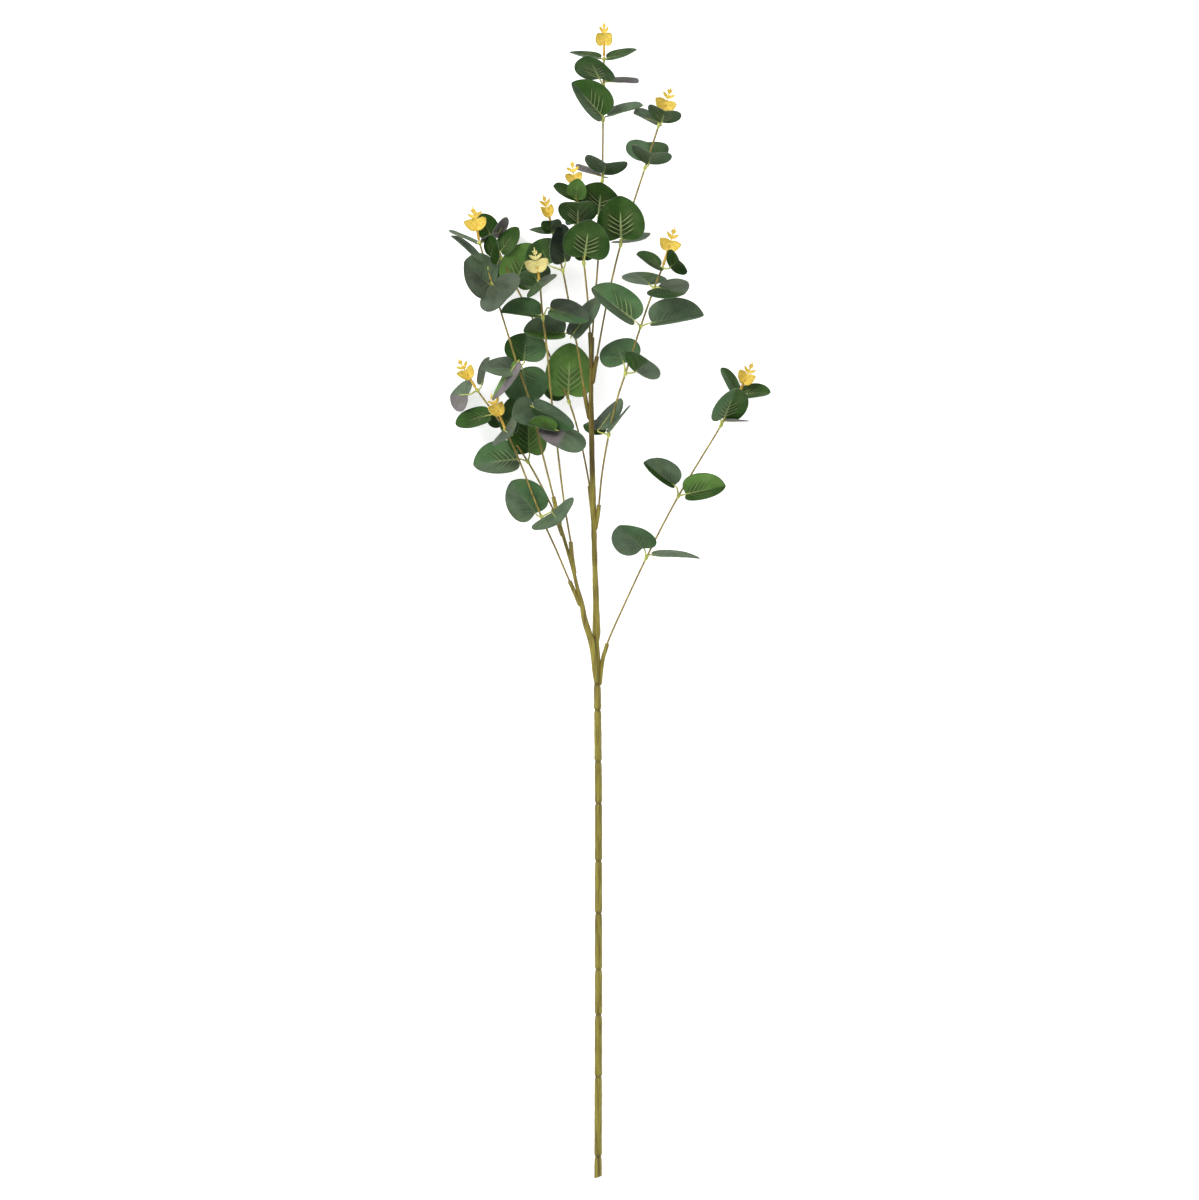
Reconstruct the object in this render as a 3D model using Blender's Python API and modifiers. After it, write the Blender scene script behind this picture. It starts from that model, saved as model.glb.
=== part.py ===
"""Artificial eucalyptus stem lying on a flat surface.

All design sizes are millimetres in one frame: the cut end of the stem is at (0, 0), +Y runs up the
stem and +Z points away from the surface, toward the viewer. The finished parts are in metres.
"""

import math
import random
from collections import namedtuple

import bmesh
import bpy
from mathutils import Matrix, Vector

MM = 0.001
SEED = 7

# Clearances and stock sizes
GAP = 0.3
BLADE_THICKNESS = 0.8
WIRE_RADIUS = 0.9
WIRE_SIDES = 6
COLLAR_RADIUS = 1.6
COLLAR_HALF = 1.6
COLLAR_SHOULDER = 0.6
PETIOLE_RADIUS = 0.8
PETIOLE_ELBOW = 3.0
PETIOLE_SINK = 1.2
PETIOLE_END = 0.25
SPAN = 40.0

# Leaf outline: how much wider it is near the petiole, how far its base lobes reach back past the
# petiole, how far its tip is drawn out, and the wave of its edge
OVATE = 0.26
LOBE = 0.24
POINT = 0.03
WAVE = 0.5
LARGE_LEAF = 35.5

# Sleeves of the main and left stems
SLEEVE_SIDES = 8
MOUTH_RADIUS = 1.8
MOUTH_END_RADIUS = 1.1
WIRE_DEPTH = 9.0
CORE_RADIUS = 1.0
CORE_START = 1.5
CORE_END = 529.0
STEM_BASE_Z = 2.75
STEM_SLOPE = 0.062
CUT_SLANT = 20.0

# Yellow tip that plugs into the end collar of each branch
PIN_RADIUS = 0.6
PIN_DEPTH = 2.4
SOCKET_DEPTH = 2.8
STALK_RADIUS = 1.0
TIP_NECK = 9.0

Joint = namedtuple("Joint", "x y z")
Way = namedtuple("Way", "x y z")
Leaf = namedtuple("Leaf", "joint base heading length width lift roll fold curl")
Tip = namedtuple("Tip", "heading lift turn spread length width roll stalk")
Branch = namedtuple("Branch", "name sleeve route mouth leaves tip")

# Main stem: centre line from above, and radius along its length with a neck at each joint
STEM_LINE = [
    (0.0, 0.0), (0.4, 148.0), (0.4, 316.0), (-0.4, 399.5), (-0.8, 416.0), (-1.7, 483.0),
    (-2.8, 517.0), (-5.0, 600.5), (-5.9, 651.0), (-5.2, 692.0),
]
STEM_NECKS = [
    (17, 2.2), (84, 2.2), (136, 2.5), (174, 2.15), (221, 2.1), (265, 2.1), (313, 2.1), (348, 2.1),
    (391, 2.15),
]
STEM_BODY_RADIUS = 2.9
NECK_HALF = 4.0
STEM_TOP_RADII = [
    (409, 2.9), (413, 2.4), (418, 2.8), (437, 2.8), (448.5, 2.15), (453, 3.0), (458, 3.5),
    (463, 3.2), (475, 2.7), (500, 2.4), (510, 2.0), (520, 2.4), (531.5, 2.05), (537, 2.4),
    (547.5, 2.1), (553, 2.4), (600, 2.25), (640, 2.2), (651, 1.9), (692, 1.7),
]

# Left stem: centre line with height and radius, from its open top to the tapered foot in the fork
LEFT_STEM = [
    (-34.4, 556.0, 42.9, 1.4), (-32.7, 549.4, 42.3, 1.4), (-25.1, 523.4, 40.3, 1.4),
    (-20.5, 507.5, 39.0, 1.5), (-17.2, 493.3, 38.0, 1.6), (-13.7, 481.0, 37.1, 2.0),
    (-11.1, 466.5, 36.2, 2.6), (-5.9, 449.7, 35.2, 2.8), (-3.7, 437.2, 34.6, 2.5),
    (-2.8, 424.6, 33.8, 2.2), (-1.6, 413.7, 32.8, 1.6),
]

BRANCHES = [
    Branch(
        name="top",
        sleeve="main_stem",
        route=[
            Joint(5.0, 935.5, 50), Joint(4.7, 912.5, 50), Joint(4.2, 884.3, 50),
            Joint(3.5, 833.7, 49.5), Joint(0.8, 803.2, 49), Way(0.2, 770.5, 48.5),
            Way(-2.2, 737.8, 47.5),
        ],
        mouth=[(-4.8, 702.7, 46.5), (-5.1, 691.0, 45.9), (-5.5, 677.0, 45.0)],
        leaves=[
            Leaf(1, (-3.5, 0.5, 0), 170, 25, 19, 0, 74, 12, 0),
            Leaf(1, (3, 0.3, 0), 16, 25, 19, 8, -68, 10, 0),
            Leaf(2, (-3.4, 6.5, 5), 117, 34, 35, 54, -38, 8, 0),
            Leaf(2, (3.7, 4, -3), -2, 28, 28, -30, -98, 12, 0),
            Leaf(3, (-0.9, 3.4, 5), 132, 37, 37, 8, 30, 38, 0),
            Leaf(3, (4.4, 3.4, -2), 16, 30, 30, 10, -75, 15, 0),
            Leaf(4, (1.5, 5.4, 6), 80, 34, 38, 62, 0, -20, 25),
            Leaf(4, (-0.5, 4, -3), 164, 28, 28, -42, 100, 10, 0),
            Leaf(5, (-0.3, 2, 5), 84, 33, 40, 38, -14, 5, 0),
            Leaf(5, (3, 1, -5), 0, 34, 34, -45, -40, 10, 0),
        ],
        tip=Tip(90, 2, 0, 40, 9.5, 10, 15, 13),
    ),
    Branch(
        name="high_right",
        sleeve="main_stem",
        route=[
            Joint(50.8, 879.9, 64), Joint(39.4, 844.6, 62), Way(28.7, 812, 59),
            Joint(18.9, 780.1, 56), Way(10.9, 747.9, 52), Way(4.9, 718.6, 48.5),
        ],
        mouth=[(-0.8, 686.8, 47.0), (-2.5, 677.5, 46.0), (-4.4, 664.1, 44.4)],
        leaves=[
            Leaf(1, (2.3, 2, 6), 74, 28, 31, 58, 0, -22, 25),
            Leaf(1, (-1.5, 3, -3), 160, 24, 24, -35, 110, 10, 0),
            Leaf(2, (2.8, 2.5, 6), 75, 34, 37, 64, 0, -22, 22),
            Leaf(2, (1, 4.5, -5), 86, 36, 38, -62, 180, -20, 0),
            Leaf(3, (0.5, 6, 7), 92, 38, 41, 35, 0, 12, -15),
            Leaf(3, (1.5, 4.2, -4), 3, 28, 34, -48, -103, 5, 0),
        ],
        tip=Tip(72, 3, 0, 62, 13, 12, 15, 15.5),
    ),
    Branch(
        name="high_left",
        sleeve="main_stem",
        route=[
            Joint(-17.8, 816.6, 69), Joint(-16.5, 795.6, 66), Joint(-11.8, 764.6, 61),
            Way(-8.7, 734.9, 54),
        ],
        mouth=[(-6.7, 706.9, 50.6), (-6.0, 692.6, 49.4), (-5.9, 677.5, 46.6)],
        leaves=[
            Leaf(1, (-2.3, 2.9, 0), 153, 21, 20, 25, 58, 15, 0),
            Leaf(1, (-0.8, 2.2, 4), 84, 19, 17, 35, 0, 5, 0),
            Leaf(2, (-0.2, 2, 6), 90, 35, 35, 52, 0, -20, 20),
            Leaf(2, (-3, 2, -4), 112, 20, 14, -68, 0, 8, 0),
            Leaf(3, (0.8, 6.5, 6), 82, 38, 40, 43, 0, 10, -5),
            Leaf(3, (0, 3, -5), 90, 22, 18, -20, 0, 8, 0),
        ],
        tip=Tip(97, 3, 0, 50, 12, 10, 25, 16),
    ),
    Branch(
        name="centre_left",
        sleeve="main_stem",
        route=[
            Joint(-37.2, 790.1, 50), Joint(-29.5, 758.6, 48), Way(-25.1, 736.2, 47.5),
            Joint(-20.1, 708.5, 48), Way(-16.5, 690.4, 46),
        ],
        mouth=[(-12.1, 661.6, 43.2), (-10.0, 649.1, 42.8), (-7.1, 634.0, 42.2)],
        leaves=[
            Leaf(1, (-2, 0.5, 0), 174, 18, 17, 0, 72, 8, 0),
            Leaf(1, (-1.2, 0.8, 5.5), 95, 20, 18, 52, 0, -15, 20),
            Leaf(2, (1.8, 7.7, 2), 94, 31, 32, 12, 52, -12, 0),
            Leaf(2, (-11.6, 6, -3), 115, 28, 30, -40, 0, 10, 0),
            Leaf(3, (-8.4, -2.1, 0), 177, 33, 34, 0, 20, 50, 0),
            Leaf(3, (-1, -4, 13), 54, 37, 25, 0, 130, -6, 0),
        ],
        tip=Tip(105, 3, 0, 40, 12, 10, 40, 15),
    ),
    Branch(
        name="right",
        sleeve="main_stem",
        route=[
            Joint(53.6, 760.3, 66), Joint(46.9, 743.7, 65), Joint(35.7, 711.7, 61),
            Joint(22.9, 672.5, 55), Way(15.9, 650.7, 51), Joint(9.0, 621.4, 46),
            Way(3.5, 589.6, 41),
        ],
        mouth=[(0.8, 562.8, 38.0), (0.0, 555.3, 37.4), (-2.3, 541.5, 36.6)],
        leaves=[
            Leaf(1, (-1.7, 1, 2), 153, 24, 22, 25, 62, 15, 0),
            Leaf(1, (6.5, 0.6, 5), 36, 24, 26, 58, 0, -20, 20),
            Leaf(2, (-3.9, 3.1, -4), 139, 37, 37, -66, 49, 5, 0),
            Leaf(2, (3.3, 0.8, 5), -15, 30, 37, 42, -55, 5, 0),
            Leaf(3, (-5.5, 5, 6), 142.5, 43.5, 37, 0, 30, 40, 0),
            Leaf(3, (9.5, 3.1, 4), 9, 42.5, 37, 0, -38, 42, 0),
            Leaf(4, (-1.5, 9, -4), 110, 34, 35, -54, 0, 5, 0),
            Leaf(4, (8.4, 1.6, 5), 35, 34, 35, 66, 18, -12, 0),
            Leaf(5, (-7.5, 5, -5), 55, 32, 28, -20, 118, 0, 0),
            Leaf(5, (0.2, 2.4, 2), 50, 28, 28, 0, -88, 8, 0),
            Leaf(5, (-2, 8, -12), 178, 23, 18, -35, 40, -20, 0),
        ],
        tip=Tip(73, 3, 0, 62, 13, 12, 15, 18),
    ),
    Branch(
        name="front_left",
        sleeve="left_stem",
        route=[
            Joint(-48.2, 744.5, 85), Joint(-46.0, 718.7, 80), Way(-42.6, 692.6, 74),
            Way(-39.4, 656.1, 65.5), Joint(-35.8, 626.9, 60), Way(-29.0, 569.5, 50),
        ],
        mouth=[(-22.8, 531.8, 43.6), (-21.8, 520.1, 42.0), (-19.4, 504.2, 39.4)],
        leaves=[
            Leaf(1, (-1.8, 5, 6), -52, 28, 31, 70, 0, -10, 15),
            Leaf(1, (-1, 1, -3), 113, 28, 30, -55, 0, 22, 0),
            Leaf(2, (-2.6, 2, 2), 174.5, 32, 34, 0, 60, 25, 0),
            Leaf(2, (6.5, 7.5, 2), -16, 32, 32, 0, -53, 10, 0),
            Leaf(3, (10, 1.5, 5), -112, 32, 42, 54, 0, -12, 0),
            Leaf(3, (0, -1.6, 16.5), 166, 23, 24, 0, 22, 62, 0),
        ],
        tip=Tip(99, 3, 0, 58, 15, 13, 20, 15),
    ),
    Branch(
        name="long_left",
        sleeve="left_stem",
        route=[
            Joint(-98.8, 781.4, 75), Joint(-92.8, 760.6, 73.5), Joint(-87.4, 744.2, 72),
            Way(-73.4, 699.3, 67), Joint(-66.6, 677.1, 64), Joint(-55.4, 644.9, 58),
            Way(-47.7, 611.0, 52),
        ],
        mouth=[(-37.3, 569.5, 44.2), (-35.1, 560.0, 43.3), (-31.5, 545.5, 42.0)],
        leaves=[
            Leaf(1, (-3.4, 0, 0), 156, 24, 20, 0, 80, 8, 0),
            Leaf(1, (0.8, 0.8, 0), 20, 19, 18, -35, -105, 8, 0),
            Leaf(2, (-5.4, 5.1, 0), 138, 32, 28, 0, 78, 10, 0),
            Leaf(2, (3, 9, 0), 72, 22, 24, 44, -50, 5, 0),
            Leaf(3, (-2.6, 2, 0), 138, 34, 38, 33, 32, 8, 0),
            Leaf(3, (-1, 3, 6), -46, 31, 42, 55, 0, -12, 0),
            Leaf(4, (5, 6.3, -4), 85, 34, 35, -48, 0, 5, 0),
            Leaf(4, (3.3, -1, -4), -78, 36, 38, -38, 0, 8, 0),
            Leaf(4, (0.5, -1, 0), 178, 30, 28, 0, 55, 10, 0),
            Leaf(4, (-1, 4, 5), 236, 36, 26, 0, -112, 5, 0),
            Leaf(5, (1, -1.5, 4), 203, 26, 25, 48, 0, 8, 0),
            Leaf(5, (1.8, -0.8, 18), -27, 38, 27, 15, 52, -5, 0),
        ],
        tip=Tip(101, 3, 0, 58, 14, 12, 20, 13),
    ),
    Branch(
        name="back_left",
        sleeve="main_stem",
        route=[
            Joint(-88.0, 787.0, 10.6), Joint(-80.2, 768.9, 12.6), Joint(-69.5, 747.1, 15.2),
            Way(-54.6, 718.7, 18.9), Way(-42.5, 692.6, 22), Joint(-24.3, 649.1, 27),
            Way(-16.0, 622.3, 31), Way(-11.1, 600.5, 33.5),
        ],
        mouth=[(-7.1, 578.7, 35.4), (-5.9, 567.0, 35.4), (-4.4, 553.6, 36.2)],
        leaves=[
            Leaf(1, (-2, 1.5, 2), 112, 21, 19, 25, 0, 8, 0),
            Leaf(1, (3, 0.5, 1), 60, 18, 18, 5, -120, 5, 0),
            Leaf(2, (-1.8, 1.5, -0.16), 247, 30, 26, 0, 110, 5, 0),
            Leaf(2, (-1, 6.4, 0), 53, 24, 22, 5, -45, 5, 0),
            Leaf(3, (0, 0.5, -3), 68, 36, 36, 5, -10, 15, 0),
            Leaf(3, (-4, 1, 0), 180, 26, 26, 0, 40, 10, 0),
            Leaf(4, (-0.5, 6.5, -3), 88, 43, 40, 15, 0, 8, 0),
            Leaf(4, (-3, 6, -4), 145, 22, 24, -22, 20, 8, 0),
        ],
        tip=Tip(128, -10, 0, 50, 11, 10, 40, 11),
    ),
    Branch(
        name="low_left",
        sleeve="left_stem",
        route=[
            Joint(-101.0, 658.7, 27), Joint(-87.9, 640.7, 30), Joint(-58.6, 598.8, 36),
        ],
        mouth=[(-37.7, 559.5, 39.6), (-34.3, 550.3, 39.4), (-29.5, 536.5, 40.2)],
        leaves=[
            Leaf(1, (3.8, 5.2, 2.5), 75, 23, 22, 0, -72, 15, 0),
            Leaf(1, (-7.8, -3.6, 1.6), 183, 30, 28, -62, 200, 8, 0),
            Leaf(2, (-3.5, -3, 0), 195, 28, 26, 0, 50, 10, 0),
            Leaf(2, (0.8, 0.5, -3), -70, 17, 17, -35, 0, 8, 0),
            Leaf(3, (-9, 2, -1), 186, 36, 36, 0, 33, 22, 0),
            Leaf(3, (1.2, 8, -3), 92, 38, 36, 15, -18, 18, 0),
        ],
        tip=Tip(121, 3, 0, 50, 13, 11, 35, 13),
    ),
    Branch(
        name="inner_left",
        sleeve="left_stem",
        route=[
            Joint(-76.2, 623.1, 55), Way(-66.7, 602.2, 53), Joint(-47.3, 552.8, 48),
            Way(-34.8, 524.8, 43),
        ],
        mouth=[(-23.9, 499.2, 37.2), (-20.1, 490.8, 37.0), (-14.8, 478.0, 36.9)],
        leaves=[
            Leaf(1, (-2, 2, 5), -38, 30, 32, 76, 180, -10, 0),
            Leaf(1, (4.5, 0.5, -3), 90, 28, 26, 0, -50, 15, 0),
            Leaf(2, (-5, 3.2, -5), 127, 33, 36, 10, 0, 18, 0),
            Leaf(2, (9, 3.5, 6), -53, 30, 43, 70, 180, -8, 0),
        ],
        tip=Tip(112, 3, 0, 45, 13, 12, 35, 17),
    ),
    Branch(
        name="low_right",
        sleeve="main_stem",
        route=[
            Joint(117.3, 654.9, 18), Joint(102.9, 629.2, 20), Joint(67.3, 570.2, 24),
            Joint(40.4, 518.5, 27), Way(14.8, 463.5, 29.5),
        ],
        mouth=[
            (7.8, 446.8, 30.0), (6.3, 441.4, 30.0), (4.4, 435.5, 29.8), (2.9, 426.3, 29.3),
            (1.5, 412.0, 28.6),
        ],
        leaves=[
            Leaf(1, (-1, 0.5, 0), 120, 25, 21, 0, 60, 8, 0),
            Leaf(1, (2.6, 0.2, 0), 6, 24, 22, 0, -55, 15, 0),
            Leaf(2, (2.6, 6.6, 3), 68, 33, 34, 38, 38, 12, 0),
            Leaf(2, (2.4, 4, -2.81), -2, 23, 26, -30, -92, 5, 0),
            Leaf(3, (-3.7, 8.9, 2), 143, 31, 34, 0, 24, 54, 0),
            Leaf(3, (6.4, 1.6, 2), 12, 33, 32, 0, -24, 40, 0),
            Leaf(4, (-2.8, 8.2, 0), 136, 36, 36, 42, -34, 10, 0),
            Leaf(4, (6, 2.5, 1), -4, 38, 30, 0, -80, 8, 0),
        ],
        tip=Tip(66, 2, 0, 50, 13, 12, 30, 12),
    ),
]

COLOURS = {
    "main_stem": (0.26, 0.24, 0.05, 1.0),
    "left_stem": (0.28, 0.25, 0.05, 1.0),
    "steel_core": (0.35, 0.35, 0.36, 1.0),
    "branch": (0.06, 0.15, 0.05, 1.0),
    "tip": (0.72, 0.50, 0.05, 1.0),
}


def clear_scene():
    for old in list(bpy.data.objects):
        bpy.data.objects.remove(old, do_unlink=True)


def new_collection(name, hidden=False):
    collection = bpy.data.collections.new(name)
    bpy.context.scene.collection.children.link(collection)
    collection.hide_render = hidden
    return collection


def add_object(name, mesh, collection):
    obj = bpy.data.objects.new(name, mesh)
    collection.objects.link(obj)
    return obj


def paint(obj, colour, roughness=0.55, metallic=0.0):
    """Gives the object its own material."""
    material = bpy.data.materials.new(obj.name)
    material.use_nodes = True
    shader = material.node_tree.nodes["Principled BSDF"]
    shader.inputs["Base Color"].default_value = colour
    shader.inputs["Roughness"].default_value = roughness
    shader.inputs["Metallic"].default_value = metallic
    obj.data.materials.clear()
    obj.data.materials.append(material)


def evaluated_mesh(obj):
    """The object's mesh with its modifiers applied."""
    bpy.context.view_layer.update()
    graph = bpy.context.evaluated_depsgraph_get()
    return bpy.data.meshes.new_from_object(obj.evaluated_get(graph), depsgraph=graph)


def tube(name, points, radii, sides, collection):
    """A closed rod of changing radius through the points, which are in millimetres."""
    curve = bpy.data.curves.new(name, "CURVE")
    curve.dimensions = "3D"
    curve.bevel_depth = MM
    curve.bevel_resolution = (sides - 4) // 2
    curve.use_fill_caps = True
    spline = curve.splines.new("POLY")
    spline.points.add(len(points) - 1)
    for knot, point, radius in zip(spline.points, points, radii):
        knot.co = (*(Vector(point) * MM), 1.0)
        knot.radius = radius
    guide = add_object(name + "_guide", curve, collection)
    mesh = evaluated_mesh(guide)
    mesh.transform(guide.matrix_world)
    bpy.data.objects.remove(guide, do_unlink=True)
    shape = bmesh.new()
    shape.from_mesh(mesh)
    bmesh.ops.remove_doubles(shape, verts=shape.verts, dist=0.00001)
    bmesh.ops.recalc_face_normals(shape, faces=shape.faces)
    shape.to_mesh(mesh)
    shape.free()
    return add_object(name, mesh, collection)


def combine(base, pieces, operation):
    """Unites the base with a collection of pieces, or cuts them from it, and removes them."""
    modifier = base.modifiers.new(operation.lower(), "BOOLEAN")
    modifier.operation = operation
    modifier.operand_type = "COLLECTION"
    modifier.collection = pieces
    modifier.solver = "EXACT"
    joined = evaluated_mesh(base)
    base.modifiers.clear()
    base.data = joined
    for piece in list(pieces.objects):
        bpy.data.objects.remove(piece, do_unlink=True)
    bpy.data.collections.remove(pieces)


def between(before, start, end, after, share):
    """A point on the Catmull-Rom curve from start to end."""
    square = share * share
    cube = square * share
    return 0.5 * (
        2 * start
        + (end - before) * share
        + (2 * before - 5 * start + 4 * end - after) * square
        + (3 * start - before - 3 * end + after) * cube
    )


def along(points, distance):
    """The first points of the line, ending at this distance along it."""
    kept = [points[0]]
    left = distance
    for start, end in zip(points, points[1:]):
        length = (end - start).length
        if length >= left:
            kept.append(start.lerp(end, left / length))
            return kept
        kept.append(end)
        left -= length
    return kept


def turned(heading, lift, roll):
    """Turns local +Y to the heading, then lifts the far end and rolls about its length."""
    return (
        Matrix.Rotation(math.radians(heading - 90), 4, "Z")
        @ Matrix.Rotation(math.radians(lift), 4, "X")
        @ Matrix.Rotation(math.radians(roll), 4, "Y")
    )


def leaf_point(across, upward, leaf, wave):
    """Where a point of the unit disc lands on the bent leaf, in its own frame."""
    share = (upward + 1) / 2
    side = across * (1 + OVATE * (0.5 - share)) * leaf.width / 2
    share += POINT * share ** 5 * (1 - abs(across)) ** 2 - LOBE * abs(across) * (1 - share) ** 2
    fold = math.radians(leaf.fold)
    curl = math.radians(leaf.curl) or 1e-6
    rim = across * across + upward * upward
    height = abs(side) * math.sin(fold) + WAVE * rim * math.sin(wave + 2.5 * math.atan2(across, upward))
    reach = leaf.length * math.sin(curl * share) / curl
    rise = leaf.length * (1 - math.cos(curl * share)) / curl
    bend = curl * share
    return Vector((
        side * math.cos(fold),
        reach - height * math.sin(bend),
        rise + height * math.cos(bend),
    ))


def blade(name, leaf, place, cells, collection, wave):
    """One leaf: a round grid bent to shape and given its thickness."""
    shape = bmesh.new()
    bmesh.ops.create_grid(shape, x_segments=cells[0], y_segments=cells[1], size=1)
    for corner in shape.verts:
        u, v = corner.co.x, corner.co.y
        corner.co.x = u * math.sqrt(1 - v * v / 2)
        corner.co.y = v * math.sqrt(1 - u * u / 2)
    bmesh.ops.triangulate(shape, faces=shape.faces, quad_method="SHORT_EDGE")
    for corner in shape.verts:
        corner.co = (place @ leaf_point(corner.co.x, corner.co.y, leaf, wave)) * MM
    mesh = bpy.data.meshes.new(name)
    shape.to_mesh(mesh)
    shape.free()
    obj = add_object(name, mesh, collection)
    solid = obj.modifiers.new("thickness", "SOLIDIFY")
    solid.thickness = BLADE_THICKNESS * MM
    solid.offset = 0.0
    solid.use_even_offset = True
    thick = evaluated_mesh(obj)
    obj.modifiers.clear()
    obj.data = thick
    return obj


def wire_line(branch):
    """Points and radii of a branch wire, with a collar at each joint and its end in the sleeve."""
    mouth = [Vector(point) for point in branch.mouth]
    line = [Vector(point) for point in branch.route] + [mouth[0]]
    points, radii = [], []
    for index, stop in enumerate(branch.route):
        here = line[index]
        back = line[index - 1] if index else here
        onward = (line[index + 1] - back).normalized()
        if isinstance(stop, Way):
            points.append(here)
            radii.append(WIRE_RADIUS)
            continue
        if index:
            points.append(here - onward * (COLLAR_HALF + COLLAR_SHOULDER))
            radii.append(WIRE_RADIUS)
        points.append(here - onward * COLLAR_HALF)
        points.append(here + onward * COLLAR_HALF)
        points.append(here + onward * (COLLAR_HALF + COLLAR_SHOULDER))
        radii.extend([COLLAR_RADIUS, COLLAR_RADIUS, WIRE_RADIUS])
    inside = along(mouth, WIRE_DEPTH)
    return points, radii, inside


def with_spans(points, radii):
    """Adds smooth points on the long spans of a wire, keeping the radii of the given ones."""
    line, sizes = [], []
    ends = [points[0], *points, points[-1]]
    for index, (before, start, end, after) in enumerate(zip(ends, ends[1:], ends[2:], ends[3:])):
        line.append(start)
        sizes.append(radii[index])
        steps = math.ceil((end - start).length / SPAN)
        for step in range(1, steps):
            line.append(between(before, start, end, after, step / steps))
            sizes.append(WIRE_RADIUS)
    line.append(points[-1])
    sizes.append(radii[-1])
    return line, sizes


def end_collar(branch):
    """Centre of the outermost joint and the direction in which its socket opens."""
    first, second = Vector(branch.route[0]), Vector(branch.route[1])
    return first, (first - second).normalized()


def build_branch(branch, parts, chance):
    """Wire, petioles and leaves of one branch, joined as one body."""
    name = branch.name + "_branch"
    points, radii, inside = wire_line(branch)
    points, radii = with_spans(points + inside, radii + [WIRE_RADIUS] * len(inside))
    wire = tube(name, points, radii, WIRE_SIDES, parts)
    pieces = new_collection(name + "_leaves")
    joints = [Vector(stop) for stop in branch.route if isinstance(stop, Joint)]
    for number, leaf in enumerate(branch.leaves):
        joint = joints[leaf.joint - 1]
        base = joint + Vector(leaf.base)
        place = Matrix.Translation(base) @ turned(leaf.heading, leaf.lift, leaf.roll)
        sunk = place @ Vector((0, PETIOLE_SINK, 0))
        elbow = place @ Vector((0, -min(PETIOLE_ELBOW, (base - joint).length / 2), 0))
        sizes = [PETIOLE_RADIUS, PETIOLE_RADIUS, PETIOLE_END]
        tube(f"{name}_petiole_{number}", [joint, elbow, sunk], sizes, 4, pieces)
        cells = (4, 4) if leaf.length >= LARGE_LEAF else (4, 3)
        wave = chance.uniform(0, 2 * math.pi)
        blade(f"{name}_leaf_{number}", leaf, place, cells, pieces, wave)
    combine(wire, pieces, "UNION")
    centre, outward = end_collar(branch)
    cutters = new_collection(name + "_socket", hidden=True)
    floor = centre + outward * (COLLAR_HALF - SOCKET_DEPTH)
    top = centre + outward * (COLLAR_HALF + 1.0)
    socket = tube(name + "_socket_cutter", [floor, top], [PIN_RADIUS + GAP] * 2, WIRE_SIDES, cutters)
    socket.hide_render = True
    socket.display_type = "WIRE"
    combine(wire, cutters, "DIFFERENCE")
    paint(wire, COLOURS["branch"])
    return wire


def build_tip(branch, parts, chance):
    """Yellow end sprig: pin and stalk, a cupped pair of leaves, a narrow pair and a bud."""
    name = branch.name + "_tip"
    tip = branch.tip
    centre, outward = end_collar(branch)
    mouth = centre + outward * COLLAR_HALF
    frame = Matrix.Translation(mouth) @ turned(tip.heading, tip.lift, tip.turn)
    fork = tip.stalk
    neck = fork + TIP_NECK
    stalk = [mouth - outward * PIN_DEPTH, mouth + outward * GAP]
    stalk += [frame @ Vector((0, reach, 0)) for reach in (2.0, fork, neck, neck + 3.0, neck + 8.0)]
    sizes = [PIN_RADIUS, PIN_RADIUS, STALK_RADIUS, STALK_RADIUS, 0.5, 1.1, 0.3]
    rod = tube(name, stalk, sizes, 4, parts)
    pieces = new_collection(name + "_leaves")
    for side in (-1, 1):
        heading = 90 - side * tip.spread
        cup = Leaf(0, (0, 0, 0), heading, tip.length, tip.width, 10, -side * tip.roll, 15, 25)
        place = frame @ Matrix.Translation((0, fork - 1.5, 0)) @ turned(cup.heading, cup.lift, cup.roll)
        blade(f"{name}_cup_{side}", cup, place, (2, 2), pieces, chance.uniform(0, 6))
        slim = Leaf(0, (0, 0, 0), 90 - side * 48, 7.0, 3.6, 0, -side * 20, 10, 20)
        place = frame @ Matrix.Translation((0, neck - 2.0, 0)) @ turned(slim.heading, slim.lift, slim.roll)
        blade(f"{name}_slim_{side}", slim, place, (1, 2), pieces, chance.uniform(0, 6))
    combine(rod, pieces, "UNION")
    paint(rod, COLOURS["tip"])
    return rod


def stem_height(y):
    return STEM_BASE_Z + STEM_SLOPE * y


def stem_across(y):
    """Sideways position of the main stem's centre line at this length."""
    for (x0, y0), (x1, y1) in zip(STEM_LINE, STEM_LINE[1:]):
        if y <= y1:
            return x0 + (x1 - x0) * (y - y0) / (y1 - y0)
    return STEM_LINE[-1][0]


def stem_profile():
    """(length, radius) pairs of the main stem, with a pinched neck at each joint."""
    profile = [(-3.0, STEM_BODY_RADIUS)]
    for centre, radius in STEM_NECKS:
        profile.append((centre - NECK_HALF, STEM_BODY_RADIUS))
        profile.append((centre, radius))
        profile.append((centre + NECK_HALF, STEM_BODY_RADIUS))
    return profile + STEM_TOP_RADII


def stem_points(lengths):
    return [Vector((stem_across(y), y, stem_height(y))) for y in lengths]


def core_lengths(start, end):
    return [start] + [y for _, y in STEM_LINE if start < y < end] + [end]


def mouth_pieces(sleeve, pieces, cutters):
    """The open-ended tubes that hold the wires of this sleeve, and the bores in them."""
    for branch in BRANCHES:
        if branch.sleeve != sleeve:
            continue
        line = [Vector(point) for point in branch.mouth]
        radii = [MOUTH_RADIUS] * (len(line) - 1) + [MOUTH_END_RADIUS]
        tube(f"{branch.name}_mouth", line, radii, SLEEVE_SIDES, pieces)
        inside = along(line, WIRE_DEPTH + GAP)
        outside = inside[0] - (inside[1] - inside[0]).normalized() * 2.0
        bore = [outside, *inside]
        tube(f"{branch.name}_bore", bore, [WIRE_RADIUS + GAP] * len(bore), SLEEVE_SIDES, cutters)


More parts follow.
